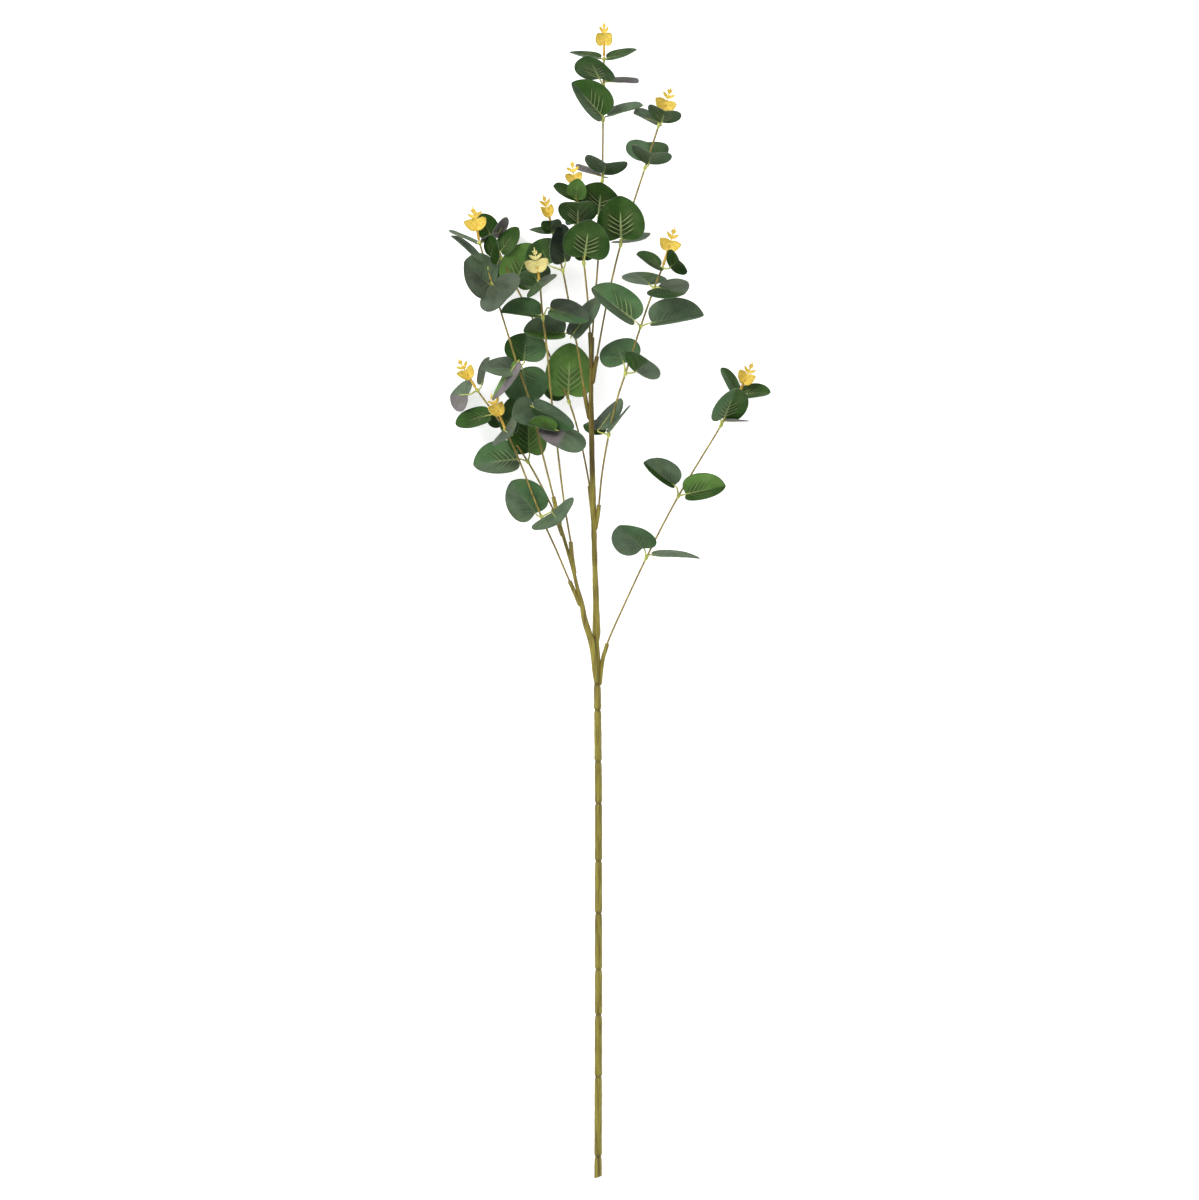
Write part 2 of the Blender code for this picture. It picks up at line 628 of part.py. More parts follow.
def build_main_stem(parts):
    """Main sleeve with its necks, mouths, core bore, slanted cut and the seat of the left stem."""
    profile = stem_profile()
    points = stem_points([y for y, _ in profile])
    stem = tube("main_stem", points, [radius for _, radius in profile], SLEEVE_SIDES, parts)
    pieces = new_collection("main_stem_mouths")
    cutters = new_collection("main_stem_cutters", hidden=True)
    mouth_pieces("main_stem", pieces, cutters)
    combine(stem, pieces, "UNION")
    lengths = core_lengths(-6.0, CORE_END + GAP)
    bore = [CORE_RADIUS + GAP] * len(lengths)
    tube("core_bore", stem_points(lengths), bore, SLEEVE_SIDES, cutters)
    seat = [point[:3] for point in LEFT_STEM[4:]]
    seat.append(Vector(seat[-1]) + (Vector(seat[-1]) - Vector(seat[-2])).normalized() * GAP)
    sizes = [point[3] + GAP for point in LEFT_STEM[4:]]
    tube("left_seat", seat, sizes + [sizes[-1]], SLEEVE_SIDES, cutters)
    end = bmesh.new()
    bmesh.ops.create_cube(end, size=20 * MM)
    slant = Matrix.Rotation(math.radians(CUT_SLANT), 4, "Z")
    place = Matrix.Translation(Vector((0, 0, STEM_BASE_Z)) * MM) @ slant
    bmesh.ops.transform(end, matrix=place @ Matrix.Translation((0, -10 * MM, 0)), verts=end.verts)
    mesh = bpy.data.meshes.new("cut_end")
    end.to_mesh(mesh)
    end.free()
    add_object("cut_end", mesh, cutters)
    for cutter in cutters.objects:
        cutter.hide_render = True
        cutter.display_type = "WIRE"
    combine(stem, cutters, "DIFFERENCE")
    paint(stem, COLOURS["main_stem"])
    return stem


def build_left_stem(parts):
    """Second sleeve, lying in its seat on the fork, with the mouths of its four branches."""
    points = [Vector(point[:3]) for point in LEFT_STEM]
    radii = [point[3] for point in LEFT_STEM]
    stem = tube("left_stem", points, radii, SLEEVE_SIDES, parts)
    pieces = new_collection("left_stem_mouths")
    cutters = new_collection("left_stem_cutters", hidden=True)
    mouth_pieces("left_stem", pieces, cutters)
    for cutter in cutters.objects:
        cutter.hide_render = True
        cutter.display_type = "WIRE"
    combine(stem, pieces, "UNION")
    combine(stem, cutters, "DIFFERENCE")
    paint(stem, COLOURS["left_stem"])
    return stem


def build_core(parts):
    """Steel wire inside the main stem."""
    lengths = core_lengths(CORE_START, CORE_END)
    core = tube("steel_core", stem_points(lengths), [CORE_RADIUS] * len(lengths), SLEEVE_SIDES, parts)
    paint(core, COLOURS["steel_core"], 0.35, 1.0)
    return core


def settle_origin(objects):
    """Moves everything so that the box of the whole object stands centred on the origin."""
    corners = [vertex.co for obj in objects for vertex in obj.data.vertices]
    low = Vector([min(corner[axis] for corner in corners) for axis in range(3)])
    high = Vector([max(corner[axis] for corner in corners) for axis in range(3)])
    shift = Matrix.Translation((-(low.x + high.x) / 2, -(low.y + high.y) / 2, -low.z))
    for obj in objects:
        obj.data.transform(shift)
    return shift


def finish(obj):
    """Smooth shading with the true edges kept sharp."""
    for face in obj.data.polygons:
        face.use_smooth = True
    obj.data.set_sharp_from_angle(angle=math.radians(45))


def main():
    clear_scene()
    chance = random.Random(SEED)
    parts = new_collection("eucalyptus_stem")
    objects = [build_main_stem(parts), build_left_stem(parts), build_core(parts)]
    for branch in BRANCHES:
        objects.append(build_branch(branch, parts, chance))
        objects.append(build_tip(branch, parts, chance))
    settle_origin(objects)
    for obj in objects:
        finish(obj)


main()
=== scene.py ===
# %% [markdown]
# # A faux eucalyptus stem
# The real thing is a decoration: printed cloth leaves on thin wires, moulded plastic sleeves that
# hold the wires, and small yellow sprigs at the ends. It lies on a table and we look straight down
# on it. We start by loading the measured solids, as every piece below has to sit where they are.

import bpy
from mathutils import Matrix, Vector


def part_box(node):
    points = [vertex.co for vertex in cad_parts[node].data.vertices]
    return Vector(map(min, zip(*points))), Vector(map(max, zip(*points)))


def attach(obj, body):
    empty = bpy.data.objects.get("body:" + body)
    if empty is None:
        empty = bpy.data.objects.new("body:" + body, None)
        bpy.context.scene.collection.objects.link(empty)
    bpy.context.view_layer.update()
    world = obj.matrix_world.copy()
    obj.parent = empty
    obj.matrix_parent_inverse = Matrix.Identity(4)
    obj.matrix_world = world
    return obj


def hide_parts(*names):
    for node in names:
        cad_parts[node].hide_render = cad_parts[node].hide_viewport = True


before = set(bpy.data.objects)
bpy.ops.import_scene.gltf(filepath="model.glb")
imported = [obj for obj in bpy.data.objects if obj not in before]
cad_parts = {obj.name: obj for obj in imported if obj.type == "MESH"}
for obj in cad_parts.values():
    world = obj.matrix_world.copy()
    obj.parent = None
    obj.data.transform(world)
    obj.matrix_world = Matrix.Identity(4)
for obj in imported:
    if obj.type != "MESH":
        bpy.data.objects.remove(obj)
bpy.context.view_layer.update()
MM = 0.001

# %% Libraries
import math
import random
from collections import namedtuple

import bpy
import numpy as np
from mathutils import Matrix, Vector

print("Blender", bpy.app.version_string)

# %% [markdown]
# ## Where the drawing starts
# The stem was drawn with its cut end at (0, 0), in millimetres, and then moved so that its box is
# centred. The move could be typed in, but it would go wrong as soon as the solids change. The steel
# core is the same in both, so its lowest corner tells us the move instead.

# %% Find the move from drawing to frame
CORE_CORNER = Vector((-4.116, 1.438, 1.845))
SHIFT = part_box("steel_core")[0] - CORE_CORNER * MM
print("moved by, in mm:", [round(value / MM, 2) for value in SHIFT])

# %% [markdown]
# ## The drawing
# A branch is a bent wire with joints. Each joint carries a pair of leaves on short stalks, and the
# end carries a sprig. Scattering leaves at random would be quicker, but this stem is a certain one,
# so each leaf is written down. It is given by its stalk's end, its heading seen from above, its
# size, how far its tip is lifted, its roll, the fold along its middle and its curl. The two letters
# are the colours painted on the left and the right of its middle, as seen from above. They hold the
# cloth's own green front or grey green back, and also painted sheen and painted shade where a half
# catches more or less light. A + or * after them marks the leaves on which the pale ribs are printed
# strongly. A Way is a bend with no leaves. The cup of a tip says how much of their full size its
# scales have.

# %% How a branch is written down
Joint = namedtuple("Joint", "x y z")
Way = namedtuple("Way", "x y z")
Leaf = namedtuple("Leaf", "joint base heading length width lift roll fold curl tone", defaults=["YY"])
Tip = namedtuple("Tip", "heading lift turn spread length width roll stalk cup", defaults=[0.84])
Branch = namedtuple("Branch", "name sleeve route mouth leaves tip")
print("a leaf has:", ", ".join(Leaf._fields))

# %% The eleven branches
BRANCHES = [
    Branch(name="top", sleeve="main_stem", route=[
        Joint(5.0, 935.5, 50), Joint(4.7, 912.5, 50), Joint(4.2, 884.3, 50),
        Joint(3.5, 833.7, 49.5), Joint(0.8, 803.2, 49), Way(0.2, 770.5, 48.5),
        Way(-2.2, 737.8, 47.5),
    ], mouth=[(-4.8, 702.7, 46.5), (-5.1, 691.0, 45.9), (-5.5, 677.0, 45.0)], leaves=[
        Leaf(1, (-3.5, 0.5, 0), 170, 25, 19, 0, 74, 12, 0, "SD"),
        Leaf(1, (3, 0.3, 0), 16, 25, 19, 8, -68, 10, 0, "DG"),
        Leaf(2, (-3.4, 6.5, 5), 117, 34, 35, 54, -38, 8, 0, "GG+"),
        Leaf(2, (3.7, 4, -3), -2, 28, 28, -30, -98, 12, 0, "PP"),
        Leaf(3, (-0.9, 3.4, 5), 132, 37, 37, 8, 30, 38, 0, "SG+"),
        Leaf(3, (4.4, 3.4, -2), 16, 30, 30, 10, -75, 15, 0, "SG"),
        Leaf(4, (1.5, 5.4, 6), 80, 34, 38, 62, 0, -20, 25, "DD"),
        Leaf(4, (-0.5, 4, -3), 164, 28, 28, -42, 100, 10, 0, "PP"),
        Leaf(5, (-0.3, 2, 5), 84, 33, 40, 38, -14, 5, 0, "DD*"),
        Leaf(5, (3, 1, -5), 0, 34, 34, -45, -40, 10, 0, "DD"),
    ], tip=Tip(90, 2, 0, 35, 10.5, 11.5, 8, 13, 1.0)),
    Branch(name="high_right", sleeve="main_stem", route=[
        Joint(50.8, 879.9, 64), Joint(39.4, 844.6, 62), Way(28.7, 812, 59),
        Joint(18.9, 780.1, 56), Way(10.9, 747.9, 52), Way(4.9, 718.6, 48.5),
    ], mouth=[(-0.8, 686.8, 47.0), (-2.5, 677.5, 46.0), (-4.4, 664.1, 44.4)], leaves=[
        Leaf(1, (2.3, 2, 6), 74, 28, 31, 58, 0, -22, 25, "DG+"),
        Leaf(1, (-1.5, 3, -3), 160, 24, 24, -35, 110, 10, 0, "SS"),
        Leaf(2, (2.8, 2.5, 6), 75, 34, 37, 64, 0, -22, 22, "DG"),
        Leaf(2, (1, 4.5, -5), 86, 36, 38, -62, 180, -20, 0, "MD"),
        Leaf(3, (0.5, 6, 7), 92, 38, 41, 35, 0, 12, -15, "DG*"),
        Leaf(3, (1.5, 4.2, -4), 3, 28, 34, -48, -103, 5, 0, "SS"),
    ], tip=Tip(72, 3, 0, 62, 13, 12, 15, 15.5)),
    Branch(name="high_left", sleeve="main_stem", route=[
        Joint(-17.8, 816.6, 69), Joint(-16.5, 795.6, 66), Joint(-11.8, 764.6, 61),
        Way(-8.7, 734.9, 54),
    ], mouth=[(-6.7, 706.9, 50.6), (-6.0, 692.6, 49.4), (-5.9, 677.5, 46.6)], leaves=[
        Leaf(1, (-2.3, 2.9, 0), 153, 21, 20, 25, 58, 15, 0, "DG"),
        Leaf(1, (-0.8, 2.2, 4), 84, 19, 17, 35, 0, 5, 0, "BB"),
        Leaf(2, (-0.2, 2, 6), 90, 35, 35, 52, 0, -20, 20, "DG*"),
        Leaf(2, (-3, 2, -4), 112, 20, 14, -68, 0, 8, 0, "DD"),
        Leaf(3, (0.8, 6.5, 6), 82, 38, 40, 43, 0, 10, -5, "GG*"),
        Leaf(3, (0, 3, -5), 90, 22, 18, -20, 0, 8, 0, "DD"),
    ], tip=Tip(97, 3, 0, 50, 12, 10, 25, 16)),
    Branch(name="centre_left", sleeve="main_stem", route=[
        Joint(-37.2, 790.1, 50), Joint(-29.5, 758.6, 48), Way(-25.1, 736.2, 47.5),
        Joint(-20.1, 708.5, 48), Way(-16.5, 690.4, 46),
    ], mouth=[(-12.1, 661.6, 43.2), (-10.0, 649.1, 42.8), (-7.1, 634.0, 42.2)], leaves=[
        Leaf(1, (-2, 0.5, 0), 174, 18, 17, 0, 72, 8, 0, "DD"),
        Leaf(1, (-1.2, 0.8, 5.5), 95, 20, 18, 52, 0, -15, 20, "DS"),
        Leaf(2, (1.8, 7.7, 2), 94, 31, 32, 12, 52, -12, 0, "KD"),
        Leaf(2, (-11.6, 6, -3), 115, 28, 30, -40, 0, 10, 0, "DG"),
        Leaf(3, (-8.4, -2.1, 0), 177, 33, 34, 0, 20, 50, 0, "BS"),
        Leaf(3, (-1, -4, 13), 54, 37, 25, 0, 130, -6, 0, "AS"),
    ], tip=Tip(105, 3, 0, 40, 12, 10, 40, 15)),
    Branch(name="right", sleeve="main_stem", route=[
        Joint(53.6, 760.3, 66), Joint(46.9, 743.7, 65), Joint(35.7, 711.7, 61),
        Joint(22.9, 672.5, 55), Way(15.9, 650.7, 51), Joint(9.0, 621.4, 46),
        Way(3.5, 589.6, 41),
    ], mouth=[(0.8, 562.8, 38.0), (0.0, 555.3, 37.4), (-2.3, 541.5, 36.6)], leaves=[
        Leaf(1, (-1.7, 1, 2), 153, 24, 22, 25, 62, 15, 0, "DG"),
        Leaf(1, (6.5, 0.6, 5), 36, 24, 26, 58, 0, -20, 20, "DD"),
        Leaf(2, (-3.9, 3.1, -4), 139, 37, 37, -66, 49, 5, 0, "SG"),
        Leaf(2, (3.3, 0.8, 5), -15, 30, 37, 42, -55, 5, 0, "AD"),
        Leaf(3, (-5.5, 5, 6), 142.5, 43.5, 37, 0, 30, 40, 0, "SM+"),
        Leaf(3, (9.5, 3.1, 4), 9, 42.5, 37, 0, -38, 42, 0, "SS"),
        Leaf(4, (-1.5, 9, -4), 110, 34, 35, -54, 0, 5, 0, "MM"),
        Leaf(4, (8.4, 1.6, 5), 35, 34, 35, 66, 18, -12, 0, "GS"),
        Leaf(5, (-7.5, 5, -5), 55, 32, 28, -20, 118, 0, 0, "AS"),
        Leaf(5, (0.2, 2.4, 2), 50, 28, 28, 0, -88, 8, 0, "SM"),
        Leaf(5, (-2, 8, -12), 178, 23, 18, -35, 40, -20, 0, "DS"),
    ], tip=Tip(73, 3, 0, 62, 13, 12, 15, 18)),
    Branch(name="front_left", sleeve="left_stem", route=[
        Joint(-48.2, 744.5, 85), Joint(-46.0, 718.7, 80), Way(-42.6, 692.6, 74),
        Way(-39.4, 656.1, 65.5), Joint(-35.8, 626.9, 60), Way(-29.0, 569.5, 50),
    ], mouth=[(-22.8, 531.8, 43.6), (-21.8, 520.1, 42.0), (-19.4, 504.2, 39.4)], leaves=[
        Leaf(1, (-1.8, 5, 6), -52, 28, 31, 70, 0, -10, 15, "AD"),
        Leaf(1, (-1, 1, -3), 113, 28, 30, -55, 0, 22, 0, "DD"),
        Leaf(2, (-2.6, 2, 2), 174.5, 32, 34, 0, 60, 25, 0, "GM"),
        Leaf(2, (6.5, 7.5, 2), -16, 32, 32, 0, -53, 10, 0, "AM"),
        Leaf(3, (10, 1.5, 5), -112, 32, 42, 54, 0, -12, 0, "SP"),
        Leaf(3, (0, -1.6, 16.5), 166, 23, 24, 0, 22, 62, 0, "GB"),
    ], tip=Tip(99, 3, 0, 58, 15, 13, 20, 15)),
    Branch(name="long_left", sleeve="left_stem", route=[
        Joint(-98.8, 781.4, 75), Joint(-92.8, 760.6, 73.5), Joint(-87.4, 744.2, 72),
        Way(-73.4, 699.3, 67), Joint(-66.6, 677.1, 64), Joint(-55.4, 644.9, 58),
        Way(-47.7, 611.0, 52),
    ], mouth=[(-37.3, 569.5, 44.2), (-35.1, 560.0, 43.3), (-31.5, 545.5, 42.0)], leaves=[
        Leaf(1, (-3.4, 0, 0), 156, 24, 20, 0, 80, 8, 0, "SS"),
        Leaf(1, (0.8, 0.8, 0), 20, 19, 18, -35, -105, 8, 0, "PP"),
        Leaf(2, (-5.4, 5.1, 0), 138, 32, 28, 0, 78, 10, 0, "AS"),
        Leaf(2, (3, 9, 0), 72, 22, 24, 44, -50, 5, 0, "DD"),
        Leaf(3, (-2.6, 2, 0), 138, 34, 38, 33, 32, 8, 0, "AS"),
        Leaf(3, (-1, 3, 6), -46, 31, 42, 55, 0, -12, 0, "AA"),
        Leaf(4, (5, 6.3, -4), 85, 34, 35, -48, 0, 5, 0, "DM"),
        Leaf(4, (3.3, -1, -4), -78, 36, 38, -38, 0, 8, 0, "MM"),
        Leaf(4, (0.5, -1, 0), 178, 30, 28, 0, 55, 10, 0, "SA"),
        Leaf(4, (-1, 4, 5), 236, 36, 26, 0, -112, 5, 0, "PB"),
        Leaf(5, (1, -1.5, 4), 203, 26, 25, 48, 0, 8, 0, "SS"),
        Leaf(5, (1.8, -0.8, 18), -27, 38, 27, 15, 52, -5, 0, "SM"),
    ], tip=Tip(101, 3, 0, 58, 14, 12, 20, 13)),
    Branch(name="back_left", sleeve="main_stem", route=[
        Joint(-88.0, 787.0, 10.6), Joint(-80.2, 768.9, 12.6), Joint(-69.5, 747.1, 15.2),
        Way(-54.6, 718.7, 18.9), Way(-42.5, 692.6, 22), Joint(-24.3, 649.1, 27),
        Way(-16.0, 622.3, 31), Way(-11.1, 600.5, 33.5),
    ], mouth=[(-7.1, 578.7, 35.4), (-5.9, 567.0, 35.4), (-4.4, 553.6, 36.2)], leaves=[
        Leaf(1, (-2, 1.5, 2), 112, 21, 19, 25, 0, 8, 0, "DG"),
        Leaf(1, (3, 0.5, 1), 60, 18, 18, 5, -120, 5, 0, "PP"),
        Leaf(2, (-1.8, 1.5, -0.16), 247, 30, 26, 0, 110, 5, 0, "SS"),
        Leaf(2, (-1, 6.4, 0), 53, 24, 22, 5, -45, 5, 0, "GG"),
        Leaf(3, (0, 0.5, -3), 68, 36, 36, 5, -10, 15, 0, "BG+"),
        Leaf(3, (-4, 1, 0), 180, 26, 26, 0, 40, 10, 0, "DD"),
        Leaf(4, (-0.5, 6.5, -3), 88, 43, 40, 15, 0, 8, 0, "BB+"),
        Leaf(4, (-3, 6, -4), 145, 22, 24, -22, 20, 8, 0, "DD"),
    ], tip=Tip(128, -10, 0, 50, 11, 10, 40, 11)),
    Branch(name="low_left", sleeve="left_stem", route=[
        Joint(-101.0, 658.7, 27), Joint(-87.9, 640.7, 30), Joint(-58.6, 598.8, 36),
    ], mouth=[(-37.7, 559.5, 39.6), (-34.3, 550.3, 39.4), (-29.5, 536.5, 40.2)], leaves=[
        Leaf(1, (3.8, 5.2, 2.5), 75, 23, 22, 0, -72, 15, 0, "AS"),
        Leaf(1, (-7.8, -3.6, 1.6), 183, 30, 28, -62, 200, 8, 0, "PS"),
        Leaf(2, (-3.5, -3, 0), 195, 28, 26, 0, 50, 10, 0, "GG"),
        Leaf(2, (0.8, 0.5, -3), -70, 17, 17, -35, 0, 8, 0, "DD"),
        Leaf(3, (-9, 2, -1), 186, 36, 36, 0, 33, 22, 0, "SM+"),
        Leaf(3, (1.2, 8, -3), 92, 38, 36, 15, -18, 18, 0, "GB"),
    ], tip=Tip(121, 3, 0, 50, 13, 11, 35, 13)),
    Branch(name="inner_left", sleeve="left_stem", route=[
        Joint(-76.2, 623.1, 55), Way(-66.7, 602.2, 53), Joint(-47.3, 552.8, 48),
        Way(-34.8, 524.8, 43),
    ], mouth=[(-23.9, 499.2, 37.2), (-20.1, 490.8, 37.0), (-14.8, 478.0, 36.9)], leaves=[
        Leaf(1, (-2, 2, 5), -38, 30, 32, 76, 180, -10, 0, "AA"),
        Leaf(1, (4.5, 0.5, -3), 90, 28, 26, 0, -50, 15, 0, "DD"),
        Leaf(2, (-5, 3.2, -5), 127, 33, 36, 10, 0, 18, 0, "SM"),
        Leaf(2, (9, 3.5, 6), -53, 30, 43, 70, 180, -8, 0, "SS"),
    ], tip=Tip(112, 3, 0, 45, 13, 12, 35, 17)),
    Branch(name="low_right", sleeve="main_stem", route=[
        Joint(117.3, 654.9, 18), Joint(102.9, 629.2, 20), Joint(67.3, 570.2, 24),
        Joint(40.4, 518.5, 27), Way(14.8, 463.5, 29.5),
    ], mouth=[
        (7.8, 446.8, 30.0), (6.3, 441.4, 30.0), (4.4, 435.5, 29.8), (2.9, 426.3, 29.3),
        (1.5, 412.0, 28.6),
    ], leaves=[
        Leaf(1, (-1, 0.5, 0), 120, 25, 21, 0, 60, 8, 0, "MG"),
        Leaf(1, (2.6, 0.2, 0), 6, 24, 22, 0, -55, 15, 0, "GG+"),
        Leaf(2, (2.6, 6.6, 3), 68, 33, 34, 38, 38, 12, 0, "MG+"),
        Leaf(2, (2.4, 4, -2.81), -2, 23, 26, -30, -92, 5, 0, "PP"),
        Leaf(3, (-3.7, 8.9, 2), 143, 31, 34, 0, 24, 54, 0, "DS"),
        Leaf(3, (6.4, 1.6, 2), 12, 33, 32, 0, -24, 40, 0, "BG+"),
        Leaf(4, (-2.8, 8.2, 0), 136, 36, 36, 42, -34, 10, 0, "SM"),
        Leaf(4, (6, 2.5, 1), -4, 38, 30, 0, -80, 8, 0, "SM"),
    ], tip=Tip(66, 2, 0, 50, 13, 12, 30, 12)),
]

print("branches:", len(BRANCHES), "leaves:", sum(len(branch.leaves) for branch in BRANCHES))

# %% [markdown]
# ## Arithmetic on material nodes
# A pattern such as the ribs of a leaf is easiest to read as a formula. Nodes could be wired one by
# one, but a long formula would fill pages. This small class wraps a node's output instead, so that
# + - * / on either side of it, and ** and abs() of it, add the matching Math nodes for us.


# %% A value that flows through a material
class Flow:
    def __init__(self, finish, socket):
        self.finish = finish
        self.socket = socket

    def math(self, operation, *values, **settings):
        settings["operation"] = operation
        return self.finish.node("ShaderNodeMath", settings, dict(enumerate(values)))

    def __add__(self, other):
        return self.math("ADD", self, other)

    def __sub__(self, other):
        return self.math("SUBTRACT", self, other)

    def __rsub__(self, other):
        return self.math("SUBTRACT", other, self)

    def __mul__(self, other):
        return self.math("MULTIPLY", self, other)

    def __truediv__(self, other):
        return self.math("DIVIDE", self, other)

    def __rtruediv__(self, other):
        return self.math("DIVIDE", other, self)

    def __pow__(self, other):
        return self.math("POWER", self, other)

    def __abs__(self):
        return self.math("ABSOLUTE", self)

    __radd__ = __add__
    __rmul__ = __mul__

    def sine(self):
        return self.math("SINE", self)

    def larger(self, other):
        return self.math("MAXIMUM", self, other)

    def clipped(self):
        return self.math("ADD", self, 0.0, use_clamp=True)

    def above(self, limit, sharpness):
        """0 up to the limit, then rising to 1."""
        return ((self - limit) * sharpness).clipped()

    def below(self, limit, sharpness):
        """1 well below the limit, falling to 0 at it."""
        return ((limit - self) * sharpness).clipped()

    def from_half(self):
        """Distance to the nearest of 0.5, 1.5, 2.5 and so on, for lines that repeat."""
        return abs(self.math("FRACT", self) - 0.5)


# %% A finish: one Principled shader and the nodes that feed it
class Finish:
    def __init__(self, name, **sockets):
        self.material = bpy.data.materials.new(name)
        self.material.use_nodes = True
        self.tree = self.material.node_tree
        self.shader = self.tree.nodes["Principled BSDF"]
        for socket, value in sockets.items():
            self.shader.inputs[socket.replace("_", " ")].default_value = value

    def node(self, kind, settings, values, output=0):
        """Adds a node: its settings first, then the value or link of each socket."""
        made = self.tree.nodes.new(kind)
        for key, value in settings.items():
            setattr(made, key, value)
        for key, value in values.items():
            if isinstance(value, Flow):
                self.tree.links.new(value.socket, made.inputs[key])
            else:
                made.inputs[key].default_value = value
        return Flow(self, made.outputs[output])

    def feed(self, socket, flow):
        self.tree.links.new(flow.socket, self.shader.inputs[socket])

    def place(self):
        """Position in metres on the model."""
        return self.node("ShaderNodeTexCoord", {}, {}, "Object")

    def stored(self, output):
        """The colour stored on the points of a piece, or another output of the same node."""
        return self.node("ShaderNodeAttribute", {"attribute_name": "tint"}, {}, output)

    def noise(self, scale, detail=3.0, where=None):
        values = {"Scale": scale, "Detail": detail}
        if where:
            values["Vector"] = where
        return self.node("ShaderNodeTexNoise", {}, values)

    def stretched(self, where, scale):
        return self.node("ShaderNodeVectorMath", {"operation": "MULTIPLY"}, {0: where, 1: scale})

    def blend(self, share, first, second):
        """A mix of two colours: 0 is the factor's socket, 6, 7 and 2 are the colour ones."""
        return self.node("ShaderNodeMix", {"data_type": "RGBA"}, {0: share, 6: first, 7: second}, 2)

    def brighter(self, colour, amount):
        return self.node("ShaderNodeVectorMath", {"operation": "SCALE"}, {0: colour, "Scale": amount})

    def relief(self, height, depth):
        """A bump of this height pattern, depth in metres."""
        values = {"Height": height, "Distance": depth, "Strength": 1.0}
        self.feed("Normal", self.node("ShaderNodeBump", {}, values))


# %% Colours
def linear_part(part):
    """One channel of a screen colour, 0 to 1, as the light value that Blender works in."""
    return part / 12.92 if part <= 0.04045 else ((part + 0.055) / 1.055) ** 2.4


def linear(code):
    """A screen colour such as 2c5a26 as light values, with an alpha of 1."""
    return (*[linear_part(int(code[index:index + 2], 16) / 255) for index in (0, 2, 4)], 1.0)


print("half grey as light:", round(linear("808080")[0], 3))

# %% [markdown]
# ## Leaf cloth
# The leaves are printed cloth, pressed in a hot mould that raises their ribs. The upper side is
# green with pale ribs and the lower side is grey green. A photograph of one leaf could be wrapped on
# all of them, but then all would be alike. So the colours of each leaf's two halves are stored on its
# points, the cloth's own colour together with painted sheen and painted shade where a half catches
# more or less light, and a formula draws the ribs in the leaf's flat coordinates: a midrib that thins
# out toward the tip, and side ribs that slant away from it. They stop before the edge, as moulded
# ones do.

# %% Leaf colours
# Tones of the cloth. A leaf's halves use them both for the cloth's own colour and for painted sheen and
# painted shade where a half catches more or less light.
TONES = {
    "K": "14241c", "D": "1c3e0a", "G": "2a4c19", "B": "5a803c", "M": "466640", "S": "566951",
    "A": "4b5647", "P": "716b6c", "Y": "ffffff",
}
RIB_SHOWS = {
    "K": 0.1, "D": 0.25, "G": 0.32, "B": 0.4, "M": 0.2, "S": 0.1, "A": 0.06, "P": 0.04, "Y": 0.0,
}
PRINTED = {"+": 0.6, "*": 1.0}
LOWER_TONE = "S"
UPPER_TONE = "G"
PALE_RIB = linear("b2c283")
SHEEN = linear("93a36f")
# Colour of the pale rim: partly the paler cut edge of the cloth, partly painted sheen.
CUT_EDGE_AND_SHEEN = linear("8d9a84")
print("leaf tones:", len(TONES))

# %% Where we are on the leaf
leaf_cloth = Finish("leaf_cloth", Specular_IOR_Level=0.1)
flat = leaf_cloth.node("ShaderNodeUVMap", {"uv_map": "leaf"}, {})
axes = leaf_cloth.node("ShaderNodeSeparateXYZ", {}, {0: flat}).socket.node.outputs
across = Flow(leaf_cloth, axes[0])
upward = Flow(leaf_cloth, axes[1])
side = abs(across * 2.0 - 1.0)
tint = leaf_cloth.stored("Color")
shows = leaf_cloth.stored("Alpha")
spot = leaf_cloth.place()
patches = leaf_cloth.noise(55.0, 2.0, spot)
broad = leaf_cloth.noise(90.0, 4.0, spot)
fine = leaf_cloth.noise(900.0, 2.0, spot)
print("nodes:", len(leaf_cloth.tree.nodes))

# %% Ribs, moulded and printed
RIB_SLANT = 0.5
RIB_COUNT = 9.5
VEIN_COUNT = 31.0
slant = upward - side * RIB_SLANT + broad * 0.02
side_rib = (1.0 - (slant * RIB_COUNT - 0.2).from_half() * 6.5).clipped()
heart = side.below(0.56, 5.0) * slant.below(0.5, 8.0) * slant.above(-0.02, 14.0)
midrib_width = (0.08 - upward * 0.07).larger(0.02)
midrib = (1.0 - side / midrib_width).clipped() * upward.below(0.68, 6.0)
rib = (side_rib * heart).larger(midrib)
near_vein = (slant * VEIN_COUNT).from_half()
vein = (1.0 - near_vein * 4.0).clipped()
pale_vein = near_vein.above(0.38, 9.0) * side.below(0.9, 5.0)
print("nodes with ribs:", len(leaf_cloth.tree.nodes))

# %% Threads and edge
THREAD_COUNT = 260.0
warp = across * THREAD_COUNT
weft = upward * THREAD_COUNT
threads = (warp + weft).sine() * (warp - weft).sine()
edge = ((across * 2.0 - 1.0) ** 2.0 + (upward * 2.0 - 1.0) ** 2.0 - 0.93).larger(0.0)
print("nodes with threads:", len(leaf_cloth.tree.nodes))

# %% Colour, roughness and relief of the cloth
CLOTH_RELIEF = 0.0008
pressed = heart * (1.0 - side_rib) * (shows * 0.35 + 0.16)
shade = broad * 1.1 + fine * 0.4 + threads * 0.05 + 0.27
shade = shade * (1.0 - pressed) * (1.0 - vein * 0.12)
cloth_colour = leaf_cloth.brighter(tint, shade)
shine = patches.above(0.47, 3.0) * 0.17 * (1.0 - vein * 0.5)
cloth_colour = leaf_cloth.blend(shine, cloth_colour, SHEEN)
